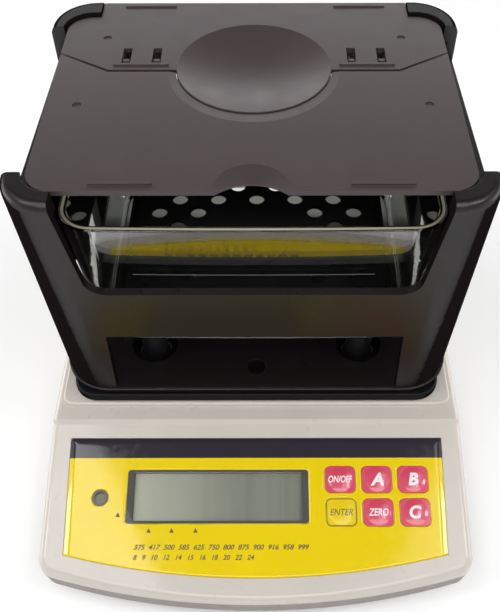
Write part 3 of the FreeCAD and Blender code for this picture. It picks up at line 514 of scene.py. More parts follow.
FINISHES = {
    "housing_beige": Moulded((0.61, 0.56, 0.505), 0.3, Grain.POLISHED, coat=0.35, edge=0.25 * MM),
    "housing_taupe": Moulded((0.26, 0.22, 0.2), 0.42, edge=0.25 * MM),
    "screw_steel": Metal((0.6, 0.6, 0.62), 0.3),
    "film_yellow": PrintedFilm((0.84, 0.63, 0.003)),
    "film_black": PrintedFilm((0.03, 0.024, 0.034)),
    "window_clear": Clear((0.97, 0.98, 0.97), 0.02, 1.25),
    "bezel_dark": Moulded((0.045, 0.041, 0.034), 0.5),
    # painted reflection: the display is paler at the left, with upright lines of painted sheen
    "lcd_grey": LiquidCrystal((0.27, 0.274, 0.222), (0.13, 0.134, 0.108), -58 * MM, -8 * MM),
    "level_grey": Moulded((0.13, 0.11, 0.08), 0.35),
    "level_fluid": Moulded((0.28, 0.255, 0.205), 0.12, Grain.POLISHED, coat=1.0),
    "level_air": Moulded((0.34, 0.32, 0.27), 0.2, Grain.POLISHED),
    "key_red": Moulded((0.68, 0.058, 0.12), 0.3, Grain.POLISHED, coat=1.0),
    "key_yellow": Moulded((0.8, 0.6, 0.004), 0.3, Grain.POLISHED, specular=0.25, coat=0.4),
    "board_green": Board(),
    "switch_black": Moulded((0.02, 0.02, 0.02), 0.5),
    "spacer_nylon": Moulded((0.7, 0.7, 0.66), 0.45),
    "inlet_black": Moulded((0.012, 0.012, 0.012), 0.45, edge=0.2 * MM),
    "inlet_pin": Metal((0.8, 0.8, 0.78), 0.15),
    "cell_aluminium": Metal((0.76, 0.76, 0.77), 0.3),
    "seat_aluminium": Metal((0.7, 0.7, 0.71), 0.38),
    "column_aluminium": Metal((0.74, 0.74, 0.75), 0.32),
    "pan_black": Moulded((0.004, 0.004, 0.005), 0.4, specular=0.14, grazing=0.0, edge=0.3 * MM),
    "rubber_black": Moulded((0.012, 0.012, 0.012), 0.75, Grain.RUBBER, specular=0.3),
    "frame_black": Moulded((0.0095, 0.0072, 0.0075), 0.3, specular=0.45, grazing=0.0, edge=0.35 * MM),
    "lid_grey": Moulded((0.055, 0.04, 0.042), 0.4, Grain.SATIN, specular=0.45, edge=0.25 * MM, dust=0.05),
    "basket_black": Moulded((0.003, 0.003, 0.0035), 0.5, specular=0.1, edge=0.2 * MM),
    "tank_clear": Clear((0.97, 0.98, 0.96), 0.0, 1.49, 0.03 * MM, 1.0),
    # painted light and shade: the stand is pale at the rear and dark at the front
    "stand_grey": PaintedRearLightPlate((0.92, 0.92, 0.9), (0.02, 0.018, 0.017), 62 * MM, 50 * MM),
    "stand_black": Moulded((0.01, 0.01, 0.011), 0.4),
    "thumbwheel_black": Moulded((0.02, 0.02, 0.02), 0.45),
}
# the tank's frosted top edge: pale tan, partly a painted highlight along the rim
FROSTED_EDGE_WITH_HIGHLIGHT = Moulded((0.5, 0.46, 0.32), 0.3, Grain.POLISHED)
WINDOW_BORDER = Moulded((0.03, 0.026, 0.02), 0.4, Grain.POLISHED)
TANK_MARK = Moulded((0.2, 0.2, 0.22), 0.4, Grain.POLISHED)
INKS = {
    "white": Moulded((0.88, 0.82, 0.84), 0.4, Grain.POLISHED),
    "dark": Moulded((0.085, 0.07, 0.03), 0.4, Grain.POLISHED),
}


class Palette:
    """The materials of the tester, made once each and shared by its pieces."""

    def __init__(self) -> None:
        """Start with no material made."""
        self.made: dict[str, bpy.types.Material] = {}

    def __getitem__(self, slot: str) -> bpy.types.Material:
        """The material of one slot, made when it is first asked for.

        Args:
            slot: the slot's name.

        Returns:
            The material.
        """
        if slot not in self.made:
            self.made[slot] = FINISHES[slot].build("finish_" + slot)
        return self.made[slot]

    def extra(self, name: str, finish: Moulded) -> bpy.types.Material:
        """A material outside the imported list, such as an ink.

        Args:
            name: the material's name.
            finish: its finish.

        Returns:
            The material.
        """
        if name not in self.made:
            self.made[name] = finish.build(name)
        return self.made[name]

    def ink(self, name: str) -> bpy.types.Material:
        """A printing ink."""
        return self.extra("ink_" + name, INKS[name])

    def dress(self, piece: bpy.types.Object, slot: str) -> None:
        """Give a piece the material of a slot, on every face."""
        piece.data.materials.clear()
        piece.data.materials.append(self[slot])


# --- Mesh tools --------------------------------------------------------------------
def make_piece(name: str, bm: bmesh.types.BMesh, sharp_deg: float = 35.0) -> bpy.types.Object:
    """Turn a bmesh into a smooth-shaded object.

    Args:
        name: the piece's name.
        bm: its mesh, which is freed.
        sharp_deg: edges that bend more than this stay sharp.

    Returns:
        The new object, linked to the scene.
    """
    mesh = bpy.data.meshes.new(name)
    bmesh.ops.recalc_face_normals(bm, faces=bm.faces)
    bm.to_mesh(mesh)
    bm.free()
    mesh.polygons.foreach_set("use_smooth", [True] * len(mesh.polygons))
    mesh.set_sharp_from_angle(angle=math.radians(sharp_deg))
    piece = bpy.data.objects.new(name, mesh)
    bpy.context.scene.collection.objects.link(piece)
    return piece


def rounded_rectangle(x0: float, x1: float, y0: float, y1: float, r: float,
                      steps: int = 8) -> list[Point]:
    """Points round a rectangle with round corners, the other way to the clock.

    Args:
        x0: its left side.
        x1: its right side.
        y0: its lower side.
        y1: its upper side.
        r: radius of its corners.
        steps: straight runs in each corner.

    Returns:
        The points.
    """
    points = []
    for cx, cy, start in ((x1 - r, y0 + r, -90), (x1 - r, y1 - r, 0),
                          (x0 + r, y1 - r, 90), (x0 + r, y0 + r, 180)):
        for i in range(steps + 1):
            a = math.radians(start + 90 * i / steps)
            points.append((cx + r * math.cos(a), cy + r * math.sin(a)))
    return points


def prism(points: Sequence[Point], z0: float, z1: float) -> bmesh.types.BMesh:
    """Closed prism over an outline.

    Args:
        points: the outline.
        z0: height of its lower face.
        z1: height of its upper face.

    Returns:
        The prism's mesh.
    """
    bm = bmesh.new()
    low = [bm.verts.new((x, y, z0)) for x, y in points]
    high = [bm.verts.new((x, y, z1)) for x, y in points]
    bm.faces.new(low[::-1])
    bm.faces.new(high)
    for i, a in enumerate(low):
        j = (i + 1) % len(low)
        bm.faces.new((a, low[j], high[j], high[i]))
    return bm


def ring(outer: Sequence[Point], inner: Sequence[Point], z0: float, z1: float) -> bmesh.types.BMesh:
    """Closed flat ring between two outlines with the same number of points.

    Args:
        outer: the outer outline.
        inner: the inner outline.
        z0: height of its lower face.
        z1: height of its upper face.

    Returns:
        The ring's mesh.
    """
    bm = bmesh.new()
    loops = [[bm.verts.new((x, y, z)) for x, y in points]
             for points in (outer, inner) for z in (z0, z1)]
    outer_low, outer_high, inner_low, inner_high = loops
    count = len(outer_low)
    for a, b in ((outer_low, outer_high), (outer_high, inner_high),
                 (inner_high, inner_low), (inner_low, outer_low)):
        for i in range(count):
            j = (i + 1) % count
            bm.faces.new((a[i], a[j], b[j], b[i]))
    return bm


def cut_out(piece: bpy.types.Object, tools: Iterable[bpy.types.Object]) -> None:
    """Take each tool out of the piece and remove the tool.

    Args:
        piece: the piece to cut.
        tools: the closed pieces that are taken out of it.
    """
    for tool in tools:
        step = piece.modifiers.new("cut", "BOOLEAN")
        step.operation, step.solver, step.object = "DIFFERENCE", "EXACT", tool
        graph = bpy.context.evaluated_depsgraph_get()
        made = bpy.data.meshes.new_from_object(piece.evaluated_get(graph))
        piece.modifiers.clear()
        piece.data = made
        bpy.data.objects.remove(tool)


# --- The sloped panel's plane ---------------------------------------------------------
@dataclass(frozen=True)
class PanelPlane:
    """The plane of the sloped panel: x across, v down the slope, h off its surface.

    Attributes:
        top_y: Y of the film's top edge, in metres.
        top_z: height of that edge, in metres.
        slope: rise of the panel over its depth.
    """

    top_y: float = -50.9 * MM
    top_z: float = 41.3 * MM
    slope: float = 0.2949

    def matrix(self) -> Matrix:
        """Place of a drawing in which down the slope is -Y and off the surface is +Z."""
        turn = Matrix.Rotation(math.atan(self.slope), 4, "X")
        return Matrix.Translation((0, self.top_y, self.top_z)) @ turn

    def settle(self, piece: bpy.types.Object) -> bpy.types.Object:
        """Move a piece that is drawn on the level into the panel."""
        piece.data.transform(self.matrix())
        return piece


CAP_SHARE = 0.73            # height of a capital over the size of the letters
LETTER_STEPS = 7            # straight runs in each curve of a letter
WELD = 1e-7                 # points nearer than this are one


@dataclass
class Lettering:
    """Printed lettering, laid flat and then bent over the surface that carries it.

    Attributes:
        text: the letters or numbers.
        height: height of a capital, in metres.
        slant: how far the letters lean.
        weight: how much each stroke is widened, in metres.
        width: width of the whole word, in metres, or None for the letters' own.
        thickness: how far the print stands out of the surface and reaches into it.
    """

    text: str
    height: float
    slant: float = 0.25
    weight: float = 0.0
    width: float | None = None
    thickness: float = 0.05 * MM

    def build(self, name: str, x: float, y: float, lift: Callable[[float, float], float]) -> bpy.types.Object:
        """Make the lettering's mesh.

        Args:
            name: the piece's name.
            x: middle of the word across the panel.
            y: middle of the word in the drawing.
            lift: height of the surface at a place of the drawing.

        Returns:
            The piece, still in the panel's drawing.
        """
        curve = bpy.data.curves.new(name, "FONT")
        curve.body, curve.size, curve.shear = self.text, self.height / CAP_SHARE, self.slant
        curve.offset, curve.resolution_u = self.weight, LETTER_STEPS
        holder = bpy.data.objects.new(name, curve)
        bpy.context.scene.collection.objects.link(holder)
        graph = bpy.context.evaluated_depsgraph_get()
        flat = bpy.data.meshes.new_from_object(holder.evaluated_get(graph))
        bpy.data.objects.remove(holder)
        bm = bmesh.new()
        bm.from_mesh(flat)
        bmesh.ops.remove_doubles(bm, verts=bm.verts, dist=WELD)
        low = [min(v.co[i] for v in bm.verts) for i in (0, 1)]
        high = [max(v.co[i] for v in bm.verts) for i in (0, 1)]
        squeeze = self.width / (high[0] - low[0]) if self.width else 1.0
        for vert in bm.verts:
            vert.co.x = x + (vert.co.x - (low[0] + high[0]) / 2) * squeeze
            vert.co.y = y + vert.co.y - (low[1] + high[1]) / 2
        bmesh.ops.triangulate(bm, faces=bm.faces)
        long_edges = [e for e in bm.edges if e.calc_length() > self.height / 4]
        bmesh.ops.subdivide_edges(bm, edges=long_edges, cuts=3, use_grid_fill=True)
        bmesh.ops.triangulate(bm, faces=bm.faces)
        raised = bmesh.ops.extrude_face_region(bm, geom=bm.faces[:] + bm.edges[:] + bm.verts[:])
        top = {e for e in raised["geom"] if isinstance(e, bmesh.types.BMVert)}
        for vert in bm.verts:
            vert.co.z = lift(vert.co.x, vert.co.y) + (self.thickness if vert in top else -self.thickness)
        return make_piece(name, bm, 60.0)


# --- Sub-assemblies -------------------------------------------------------------------
@dataclass
class CadDressing:
    """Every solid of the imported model, each in the finish of its slot.

    Attributes:
        record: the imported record.
    """

    record: dict

    def dress(self, palette: Palette) -> None:
        """Assign the materials and report them.

        Args:
            palette: the finishes.
        """
        for part in self.record["subparts"]:
            palette.dress(frame["nodes"][part["node"]], part["material_slot"])
        log.info("dressed %d solids", len(self.record["subparts"]))


@dataclass
class Film:
    """The printed film: its surface falls away along the edges, as a thick clear coat does.

    Attributes:
        top_half: half the width at the top edge.
        low_half: half the width at the lower corners.
        side: length of the sides down the slope.
        middle: length along the middle, where the lower edge is an arc.
        band: height of the dark strip.
        thickness: thickness of the film.
        edge_width: width of the zone that falls away at the top and the sides.
        low_width: width of that zone along the lower edge.
        edge_fall: how far it falls at the very edge.
        columns: number of faces across.
    """

    top_half: float = 89.7 * MM
    low_half: float = 88.2 * MM
    side: float = 54.6 * MM
    middle: float = 64.7 * MM
    band: float = 9.8 * MM
    thickness: float = 0.5 * MM
    edge_width: float = 3.6 * MM
    low_width: float = 0.8 * MM
    edge_fall: float = 0.46 * MM
    columns: int = 150

    def half(self, v: float) -> float:
        """Half the film's width at a distance down the slope."""
        return self.top_half + (self.low_half - self.top_half) * min(v / self.side, 1.0)

    def lower_edge(self, x: float) -> float:
        """Place of the lower edge, on an arc through the corners and the middle.

        Args:
            x: place across.

        Returns:
            Its distance down the slope.
        """
        rise = self.middle - self.side
        radius = (self.low_half ** 2 + rise ** 2) / (2 * rise)
        return self.middle - radius + math.sqrt(radius ** 2 - min(abs(x), self.low_half) ** 2)

    def height(self, x: float, v: float) -> float:
        """Height of the film's surface, zero over its middle.

        Args:
            x: place across.
            v: distance down the slope.

        Returns:
            The height off the panel.
        """
        room = ((self.half(v) - abs(x)) / self.edge_width,
                (self.lower_edge(x) - v) / self.low_width, v / self.edge_width)
        near = sum(max(0.0, 1 - max(r, 0.0)) ** 4 for r in room) ** 0.5
        return -self.edge_fall * min(1.0, near)

    def stations(self, count: int) -> list[float]:
        """Places from -1 to 1 that crowd together towards both ends."""
        return [math.sin(math.pi / 2 * (2 * i / count - 1)) for i in range(count + 1)]

    def sheet(self, name: str, v0: float, v1: Callable[[float], float], rows: int) -> bpy.types.Object:
        """A stretch of the film between two lines down the slope.

        Args:
            name: the piece's name.
            v0: where it starts down the slope.
            v1: where it ends, for a place across.
            rows: number of rows of faces.

        Returns:
            The closed piece in the panel's drawing.
        """
        bm = bmesh.new()
        layers: list[list[list[bmesh.types.BMVert]]] = []
        across = self.stations(self.columns)
        down = [(s + 1) / 2 for s in self.stations(rows)]
        for floor in (False, True):
            grid = []
            for t in down:
                row = []
                for u in across:
                    v = v0 + (v1(u * self.low_half) - v0) * t
                    x = u * self.half(v)
                    z = -self.thickness if floor else self.height(x, v)
                    row.append(bm.verts.new((x, -v, z)))
                grid.append(row)
            layers.append(grid)
        for grid in layers:
            for a, b in zip(grid, grid[1:]):
                for i in range(self.columns):
                    bm.faces.new((a[i], a[i + 1], b[i + 1], b[i]))
        rim = [[g[0] for g in layers], [g[-1] for g in layers],
               [[row[0] for row in g] for g in layers], [[row[-1] for row in g] for g in layers]]
        for upper, lower in rim:
            for i in range(len(upper) - 1):
                bm.faces.new((upper[i], upper[i + 1], lower[i + 1], lower[i]))
        return make_piece(name, bm, 50.0)


@dataclass
class Keypad:
    """Six keys in two rows: where they are, and what is printed on them.

    Attributes:
        plane: the panel's plane.
        width: width of a key.
        depth: its length down the slope.
        corner: radius of its corners.
        clear: gap between a key and the film.
        rise: height of its face off the panel.
        dome_r: radius of the dome in its middle.
        dome_h: height of the dome.
        outline_at: distance of the printed line from the key's edge.
        outline_width: width of that line.
        outline_sunk: how far it reaches into the key.
        outline_height: its whole thickness.
        columns: middle of each column, across.
        rows: middle of each row, down the slope.
        legends: what is printed on each key.
    """

    plane: PanelPlane
    width: float = 14.2 * MM
    depth: float = 12.6 * MM
    corner: float = 2.6 * MM
    clear: float = 0.15 * MM
    rise: float = 0.45 * MM
    dome_r: float = 5.9 * MM
    dome_h: float = 0.55 * MM
    outline_at: float = 0.1 * MM
    outline_width: float = 0.3 * MM
    outline_sunk: float = 0.03 * MM
    outline_height: float = 0.07 * MM
    columns: tuple[float, ...] = (40.0 * MM, 57.3 * MM, 74.5 * MM)
    rows: tuple[float, ...] = (20.15 * MM, 35.5 * MM)
    legends: dict[str, Lettering] = field(default_factory=lambda: {
        "key_on_off": Lettering("ON/OFF", 3.2 * MM, 0.2, 0.1 * MM, 11.4 * MM),
        "key_a": Lettering("A", 5.7 * MM, 0.25, 0.35 * MM),
        "key_b": Lettering("B", 5.7 * MM, 0.2, 0.35 * MM),
        "key_enter": Lettering("ENTER", 3.2 * MM, 0.25, 0.0, 10.6 * MM),
        "key_zero": Lettering("ZERO", 3.4 * MM, 0.2, 0.1 * MM, 9.4 * MM),
        "key_c": Lettering("C", 5.7 * MM, 0.15, 0.3 * MM),
    })

    def places(self) -> dict[str, Point]:
        """Middle of each key in the panel's drawing."""
        names = ("key_on_off", "key_a", "key_b", "key_enter", "key_zero", "key_c")
        return {name: (self.columns[i % 3], -self.rows[i // 3]) for i, name in enumerate(names)}

    def cutters(self) -> list[bpy.types.Object]:
        """Blocks that cut the keys' holes in the film.

        Returns:
            One block for each key.
        """
        w, d = self.width / 2 + self.clear, self.depth / 2 + self.clear
        tools = []
        for name, (x, y) in self.places().items():
            outline = rounded_rectangle(x - w, x + w, y - d, y + d, self.corner + self.clear)
            tools.append(make_piece(name + "_cutter", prism(outline, -CUTTER_REACH, CUTTER_REACH)))
        return tools

    def surface(self, off_x: float, off_y: float) -> float:
        """Height of a key's face, on the dome or beside it.

        Args:
            off_x: distance from the key's middle, across.
            off_y: distance from its middle, up the slope.

        Returns:
            The height off the panel.
        """
        ball = (self.dome_r ** 2 + self.dome_h ** 2) / (2 * self.dome_h)
        reach = min(math.hypot(off_x, off_y), self.dome_r)
        return self.rise + self.dome_h - ball + math.sqrt(ball ** 2 - reach ** 2)

    def outline(self, name: str) -> bpy.types.Object:
        """Thin printed line round the face of a key.

        Args:
            name: the key's name.

        Returns:
            The line, in the panel's drawing.
        """
        x, y = self.places()[name]
        loops = []
        for inset in (self.outline_at, self.outline_at + self.outline_width):
            w, d = self.width / 2 - inset, self.depth / 2 - inset
            loops.append(rounded_rectangle(x - w, x + w, y - d, y + d, self.corner - inset))
        low = self.rise - self.outline_sunk
        return make_piece(name + "_outline", ring(*loops, low, low + self.outline_height))

    def build(self, palette: Palette) -> list[bpy.types.Object]:
        """Print the legends on the keys.

        Args:
            palette: the finishes.

        Returns:
            The printed pieces.
        """
        pieces = []
        for name, (x, y) in self.places().items():
            legend = self.legends[name].build(
                name + "_legend", x, y, lambda px, py, x=x, y=y: self.surface(px - x, py - y))
            printed = [legend]
            if name == "key_enter":
                printed.append(self.outline(name))
            for piece in printed:
                self.plane.settle(piece)
                piece.data.materials.append(palette.ink("dark" if name == "key_enter" else "white"))
                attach(piece, name + "_cap")
            pieces += printed
        return pieces


@dataclass
class PrintedScale:
    """Plain numbers and pointers printed on the film round the display.

    Attributes:
        plane: the panel's plane.
        rows: each row's numbers, the place of its middle down the slope, and its left and right end.
        cap: height of the numbers.
        pointers: place across and down the slope of each small pointer.
        pointer: half width and height of a pointer.
        depth: how far a pointer stands out of the film and reaches into it.
    """

    plane: PanelPlane
    rows: tuple[tuple[str, float, float, float], ...] = (
        ("375  417  500  585  625  750  800  875  900  916  958  999", 51.1 * MM, -56.0 * MM, 24.5 * MM),
        ("8   9   10   12   14   15   16   18   20   22   24", 55.6 * MM, -56.0 * MM, -0.5 * MM),
    )
    cap: float = 2.3 * MM
    pointers: tuple[Point, ...] = ((-49.6 * MM, 43.6 * MM), (-39.0 * MM, 43.6 * MM), (-27.9 * MM, 43.6 * MM),
                                   (-64.4 * MM, 36.4 * MM))
    pointer: Point = (1.1 * MM, 2.1 * MM)
    depth: float = 0.03 * MM

    def build(self, palette: Palette) -> list[bpy.types.Object]:
        """Print the rows and the pointers.

        Args:
            palette: the finishes.

        Returns:
            The printed pieces.
        """
        pieces = []
        for i, (numbers, v, left, right) in enumerate(self.rows):
            row = Lettering(numbers, self.cap, 0.3, 0.06 * MM, right - left)
            pieces.append(row.build("scale_row_%d" % (i + 1), (left + right) / 2, -v, lambda x, y: 0.0))
        half, height = self.pointer
        for i, (x, v) in enumerate(self.pointers):
            outline = [(x - half, -v - height / 2), (x + half, -v - height / 2), (x, -v + height / 2)]
            body = prism(outline, -self.depth, self.depth)
            pieces.append(make_piece("scale_pointer_%d" % (i + 1), body))
        for piece in pieces:
            self.plane.settle(piece)
            piece.data.materials.append(palette.ink("dark"))
            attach(piece, "base")
        return pieces


@dataclass
class ControlPanel:
    """The film with its openings, the keys' legends and the printed scale.

    Attributes:
        plane: the panel's plane.
        window: left, right, upper and lower side of the display window.
        window_corner: radius of its corners.
        border: width of the dark border at the left, right, top and bottom.
        border_gap: gap between the border and the window's edge.
        border_corner: radius of the border's inner corners.
        border_depth: how far the border lies under the film's surface.
        border_skin: its thickness.
        level_x: middle of the bubble level, across.
        level_v: its middle, down the slope.
        level_r: radius of its hole in the film.
        level_steps: straight runs round that hole.
        field_rows: rows of faces in the yellow field.
        band_rows: rows of faces in the dark strip.
    """

    plane: PanelPlane = field(default_factory=PanelPlane)
    window: tuple[float, float, float, float] = (-60.9 * MM, 24.9 * MM, 15.4 * MM, 40.6 * MM)
    window_corner: float = 1.5 * MM
    border: tuple[float, float, float, float] = (3.2 * MM, 3.0 * MM, 1.2 * MM, 1.4 * MM)
    border_gap: float = 0.1 * MM
    border_corner: float = 0.3 * MM
    border_depth: float = 0.3 * MM
    border_skin: float = 0.03 * MM
    level_x: float = -73.3 * MM
    level_v: float = 28.6 * MM
    level_r: float = 4.0 * MM
    level_steps: int = 64
    field_rows: int = 70
    band_rows: int = 24

    def openings(self, keypad: Keypad) -> list[bpy.types.Object]:
        """Blocks that cut the display window, the level and the keys out of the film.

        Args:
            keypad: the keys.

        Returns:
            The blocks.
        """
        x0, x1, v0, v1 = self.window
        view = rounded_rectangle(x0, x1, -v1, -v0, self.window_corner)
        angles = [2 * math.pi * i / self.level_steps for i in range(self.level_steps)]
        hole = [(self.level_x + self.level_r * math.cos(a), -self.level_v + self.level_r * math.sin(a))
                for a in angles]
        tools = [make_piece(name + "_cutter", prism(outline, -CUTTER_REACH, CUTTER_REACH))
                 for name, outline in (("view", view), ("level", hole))]
        return tools + keypad.cutters()

    def window_border(self, palette: Palette) -> bpy.types.Object:
        """Dark border printed on the back of the display window, round the display's glass.

        Args:
            palette: the finishes.

        Returns:
            The border.
        """
        x0, x1, v0, v1 = self.window
        left, right, top, bottom = self.border
        gap, low = self.border_gap, -self.border_depth
        outer = rounded_rectangle(x0 + gap, x1 - gap, -v1 + gap, -v0 - gap, self.window_corner)
        inner = rounded_rectangle(x0 + left, x1 - right, -v1 + bottom, -v0 - top, self.border_corner)
        piece = make_piece("window_border", ring(outer, inner, low, low + self.border_skin))
        self.plane.settle(piece)
        piece.data.materials.append(palette.extra("window_border_finish", WINDOW_BORDER))
        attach(piece, "base")
        return piece

    def build(self, palette: Palette) -> list[bpy.types.Object]:
        """Make the film and all that is printed on it.

        Args:
            palette: the finishes.

        Returns:
            The pieces.
        """
        keypad = Keypad(self.plane)
        film = Film()
        yellow = film.sheet("film_field", film.band, film.lower_edge, self.field_rows)
        cut_out(yellow, self.openings(keypad))
        band = film.sheet("film_band", 0.0, lambda x: film.band, self.band_rows)
        for piece, node, slot in ((yellow, "panel_overlay", "film_yellow"),
                                  (band, "panel_band", "film_black")):
            self.plane.settle(piece)
            palette.dress(piece, slot)
            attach(piece, "base")
            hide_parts(node)
        printed = keypad.build(palette) + PrintedScale(self.plane).build(palette)
        return [yellow, band, self.window_border(palette)] + printed


@dataclass
class TankTrim:
    """The sawn upper edge of the clear tank, its pale tan partly a painted highlight, and the filling mark on
    its front wall.

    Attributes:
        half_x: half the tank's width at the top.
        front: Y of its front at the top.
        rear: Y of its rear at the top.
        corner: radius of its corners at the top.
        bow: how far the middle of its front stands ahead of the ends.
        wall: thickness of its walls.
        shy: how far the edge's face stays inside the walls' rounding.
        skin: how far the edge's face and the mark stand out.
        lean: how far the front wall comes forward for each metre upwards.
        mark_z: height of the filling mark.
        mark_half: half its length.
        mark_height: height of its line.
        steps: straight runs along the bowed front.
        corner_steps: straight runs in each corner.
    """

    half_x: float = 77.0 * MM
    front: float = -32.2 * MM
    rear: float = 84.5 * MM
    corner: float = 14.0 * MM
    bow: float = 0.7 * MM
    wall: float = 3.0 * MM
    shy: float = 0.95 * MM
    skin: float = 0.04 * MM
    lean: float = 10.1 / 80.8
    mark_z: float = 134.6 * MM
    mark_half: float = 50.0 * MM
    mark_height: float = 0.35 * MM
    steps: int = 24
    corner_steps: int = 16

    def front_y(self, x: float, drop: float) -> float:
        """Y of the front wall's outside at a place across, a distance below the top."""
        reach = self.half_x - self.corner
        return self.front + self.lean * drop - self.bow * (1 - (x / reach) ** 2)

    def loop(self, inset: float) -> list[Point]:
        """The tank's plan at the top, its front a little bowed.

        Args:
            inset: how far the plan is moved in.

        Returns:
            Its points.
        """
        points = rounded_rectangle(-self.half_x + inset, self.half_x - inset, self.front + inset,
                                   self.rear - inset, self.corner - inset, self.corner_steps)
        reach = self.half_x - self.corner
        across = [reach * (2 * i / self.steps - 1) for i in range(1, self.steps)]
        return points + [(x, self.front_y(x, 0.0) + inset) for x in across]

    def edge(self, top: float) -> bpy.types.Object:
        """Frosted face along the top of the walls, its pale tan colour partly a painted highlight."""
        loops = [self.loop(inset) for inset in (self.shy, self.wall - self.shy)]
        return make_piece("tank_edge", ring(*loops, top - self.skin, top + self.skin))

    def mark(self, top: float) -> bpy.types.Object:
        """Fine line across the outside of the front wall.

        Args:
            top: height of the tank's upper edge.

        Returns:
            The line.
        """
        across = [self.mark_half * (2 * i / self.steps - 1) for i in range(self.steps + 1)]
        front = [(x, self.front_y(x, top - self.mark_z)) for x in across]
        outline = [(x, y - self.skin) for x, y in front] + [(x, y + self.skin) for x, y in front[::-1]]
        half = self.mark_height / 2
        return make_piece("tank_mark", prism(outline, self.mark_z - half, self.mark_z + half))

    def build(self, palette: Palette) -> list[bpy.types.Object]:
        """Make both and let them travel with the tank.

        Args:
            palette: the finishes.

        Returns:
            The two pieces.
        """
        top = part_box("water_tank")[1][2]
        pieces = []
        for piece, finish in ((self.edge(top), FROSTED_EDGE_WITH_HIGHLIGHT), (self.mark(top), TANK_MARK)):
            piece.data.materials.append(palette.extra(piece.name + "_finish", finish))
            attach(piece, "tank")
            pieces.append(piece)
        return pieces


# --- Studio ---------------------------------------------------------------------------
@dataclass
class Softbox:
    """A soft area lamp.

    Attributes:
        name: the lamp's name.
        place: its middle, in metres.
        size: its width along the level and its height, in metres.
        radiance: brightness of its face, 1 is a white surface.
        target: what it faces.
        turn_deg: how far it is turned about its own axis.
    """

    name: str
    place: tuple[float, float, float]
    size: Point
    radiance: float
    target: tuple[float, float, float] = (0.0, 0.0, 0.08)
    turn_deg: float = 0.0

    def build(self) -> None:
        """Hang the lamp."""
        lamp = bpy.data.lights.new(self.name, "AREA")
        lamp.shape, lamp.size, lamp.size_y = "RECTANGLE", *self.size
        lamp.energy = self.radiance * math.pi * self.size[0] * self.size[1]
        holder = bpy.data.objects.new(self.name, lamp)
        bpy.context.scene.collection.objects.link(holder)
        holder.location = self.place
        facing = Vector(self.target) - Vector(self.place)
        turn = Matrix.Rotation(math.radians(self.turn_deg), 3, "Z")
        holder.rotation_euler = (facing.to_track_quat("-Z", "Y").to_matrix() @ turn).to_euler()
        holder.visible_camera = False


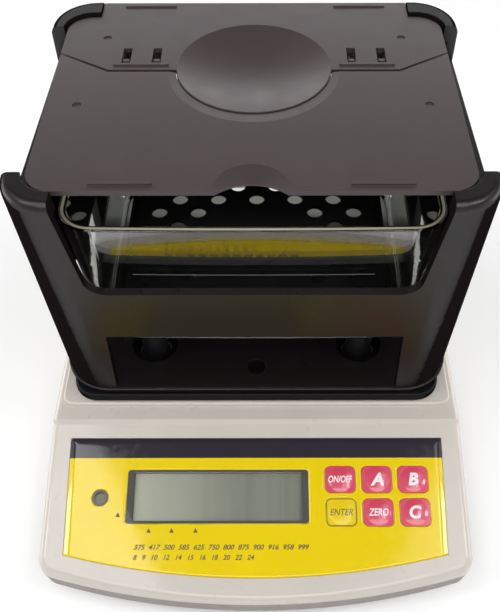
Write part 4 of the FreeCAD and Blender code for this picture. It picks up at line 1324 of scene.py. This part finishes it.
@dataclass
class Studio:
    """Camera, floor, soft lamps and the pale surroundings.

    Attributes:
        image: width and height of the view, in pixels.
        centre: the view's optical centre, in pixels.
        focal: focal length, in pixels.
        eye: the camera's place, in metres.
        turn_deg: heading, tilt from straight down, and roll.
        sensor: width of the camera's sensor, in millimetres.
        clip: nearest and farthest distance that is seen, in metres.
        floor_reach: how far the floor reaches each way, in metres.
        floor_grey: share of the light that the floor sends back.
        floor_glow: light that the camera, gloss and glass see added to the floor.
        zenith: brightness of the surroundings overhead.
        horizon: their brightness near the floor, 1 is white.
        fade: rise of the view between which one turns into the other.
        softboxes: the lamps.
    """

    image: Point = (500.0, 612.0)
    centre: Point = (268.57, 306.28)
    focal: float = 797.71
    eye: tuple[float, float, float] = (6.232 * MM, -252.43 * MM, 377.76 * MM)
    turn_deg: tuple[float, float, float] = (0.032, 40.288, -0.105)
    sensor: float = 36.0
    clip: Point = (0.01, 30.0)
    floor_reach: float = 4.0
    floor_grey: float = 0.86
    floor_glow: float = 0.18
    zenith: float = 0.08
    horizon: float = 1.0
    fade: Point = (0.2, 0.55)
    softboxes: tuple[Softbox, ...] = (
        Softbox("lamp_front", (0.0, -1.0, 1.55), (1.9, 0.7), 3.4),
        Softbox("lamp_left", (-0.80, -0.05, 0.98), (1.1, 0.3), 1.15),
        Softbox("lamp_right", (0.80, -0.05, 0.98), (1.1, 0.3), 1.0),
        Softbox("lamp_high_left", (-0.43, -0.17, 1.3), (0.22, 0.66), 4.3, (-0.43, -0.17, 0.0), 24.0),
        Softbox("lamp_high_right", (0.42, -0.25, 1.3), (0.2, 0.7), 2.1, (0.42, -0.25, 0.0), -24.0),
        Softbox("lamp_glint_right", (0.47, -0.36, 1.29), (0.1, 0.3), 7.0, (0.47, -0.36, 0.0)),
        Softbox("lamp_edge_left", (-0.95, -0.27, 1.3), (0.46, 0.2), 12.0, (-0.95, -0.27, 0.0)),
        Softbox("lamp_edge_right", (0.96, -0.27, 1.3), (0.46, 0.2), 12.0, (0.96, -0.27, 0.0)),
        Softbox("lamp_low_left", (-1.2, 0.35, 0.2), (1.1, 0.4), 4.0),
        Softbox("lamp_low_right", (1.2, 0.35, 0.2), (1.1, 0.3), 4.0),
        Softbox("lamp_rear", (0.0, 1.5, 0.68), (2.0, 0.6), 1.9),
    )

    def camera(self) -> None:
        """Set up the camera."""
        data = bpy.data.cameras.new("view")
        width, height = self.image
        data.sensor_width, data.sensor_fit = self.sensor, "AUTO"
        data.lens = self.focal * self.sensor / height
        data.shift_x = (width / 2 - self.centre[0]) / height
        data.shift_y = (self.centre[1] - height / 2) / height
        data.clip_start, data.clip_end = self.clip
        holder = bpy.data.objects.new("view", data)
        bpy.context.scene.collection.objects.link(holder)
        heading, tilt, roll = (math.radians(a) for a in self.turn_deg)
        turn = (Matrix.Rotation(heading, 4, "Z") @ Matrix.Rotation(tilt, 4, "X")
                @ Matrix.Rotation(roll, 4, "Z"))
        holder.matrix_world = Matrix.Translation(self.eye) @ turn
        bpy.context.scene.camera = holder

    def seen_white(self, g: Graph, own: Socket, glow: Socket) -> Socket:
        """A shader that looks one way to the camera, gloss and glass and another way as a light.

        Args:
            g: the graph to add to.
            own: what lights the object.
            glow: what the camera, gloss and glass see.

        Returns:
            The mixed shader.
        """
        path = g.node("LightPath")
        seen = path.outputs["Is Camera Ray"]
        for kind in ("Is Glossy Ray", "Is Transmission Ray"):
            seen = g.node("Math", {0: seen, 1: path.outputs[kind]}, operation="MAXIMUM").outputs[0]
        mixed = g.node("MixShader", {0: seen})
        g.feed(mixed.inputs[1], own)
        g.feed(mixed.inputs[2], glow)
        return mixed.outputs[0]

    def floor(self) -> None:
        """Lay a plain pale floor that keeps the shadow."""
        reach = self.floor_reach
        bm = bmesh.new()
        bm.faces.new([bm.verts.new((x, y, 0)) for x, y in
                      ((-reach, -reach), (reach, -reach), (reach, reach), (-reach, reach))])
        piece = make_piece("floor", bm)
        g = Graph("floor_white")
        paint = g.node("BsdfDiffuse", {"Color": (*[self.floor_grey] * 3, 1.0)}).outputs[0]
        white = (1.0, 1.0, 1.0, 1.0)
        glow = g.node("Emission", {"Color": white, "Strength": self.floor_glow}).outputs[0]
        lit = g.node("AddShader")
        g.feed(lit.inputs[0], paint)
        g.feed(lit.inputs[1], glow)
        piece.data.materials.append(g.surface(self.seen_white(g, paint, lit.outputs[0])))

    def surroundings(self) -> None:
        """White backdrop all round up to a low height, fading to a dim light overhead."""
        world = bpy.data.worlds.new("surroundings")
        bpy.context.scene.world = world
        world.use_nodes = True
        tree = world.node_tree
        tree.nodes.clear()
        up = tree.nodes.new("ShaderNodeSeparateXYZ")
        tree.links.new(tree.nodes.new("ShaderNodeTexCoord").outputs["Generated"], up.inputs[0])
        fade = tree.nodes.new("ShaderNodeMapRange")
        fade.interpolation_type = "SMOOTHSTEP"
        tree.links.new(up.outputs["Z"], fade.inputs["Value"])
        for name, value in zip(("From Min", "From Max", "To Min", "To Max"),
                               (*self.fade, self.horizon, self.zenith)):
            fade.inputs[name].default_value = value
        backdrop = tree.nodes.new("ShaderNodeBackground")
        tree.links.new(fade.outputs["Result"], backdrop.inputs["Strength"])
        output = tree.nodes.new("ShaderNodeOutputWorld")
        tree.links.new(backdrop.outputs[0], output.inputs["Surface"])

    def build(self) -> None:
        """Set up everything that isn't the tester."""
        self.camera()
        self.floor()
        self.surroundings()
        for softbox in self.softboxes:
            softbox.build()
        bpy.context.scene.view_settings.view_transform = "Standard"
        log.info("studio with %d lamps", len(self.softboxes))


def main() -> None:
    """Build the studio and the tester in order, and log the pieces."""
    logging.basicConfig(level=logging.INFO, format="%(message)s")
    Studio().build()
    palette = Palette()
    CadDressing(frame["record"]).dress(palette)
    for assembly in (ControlPanel(), TankTrim()):
        for piece in assembly.build(palette):
            log.info("%s: %s", type(assembly).__name__, piece.name)


if __name__ == "__main__":
    main()
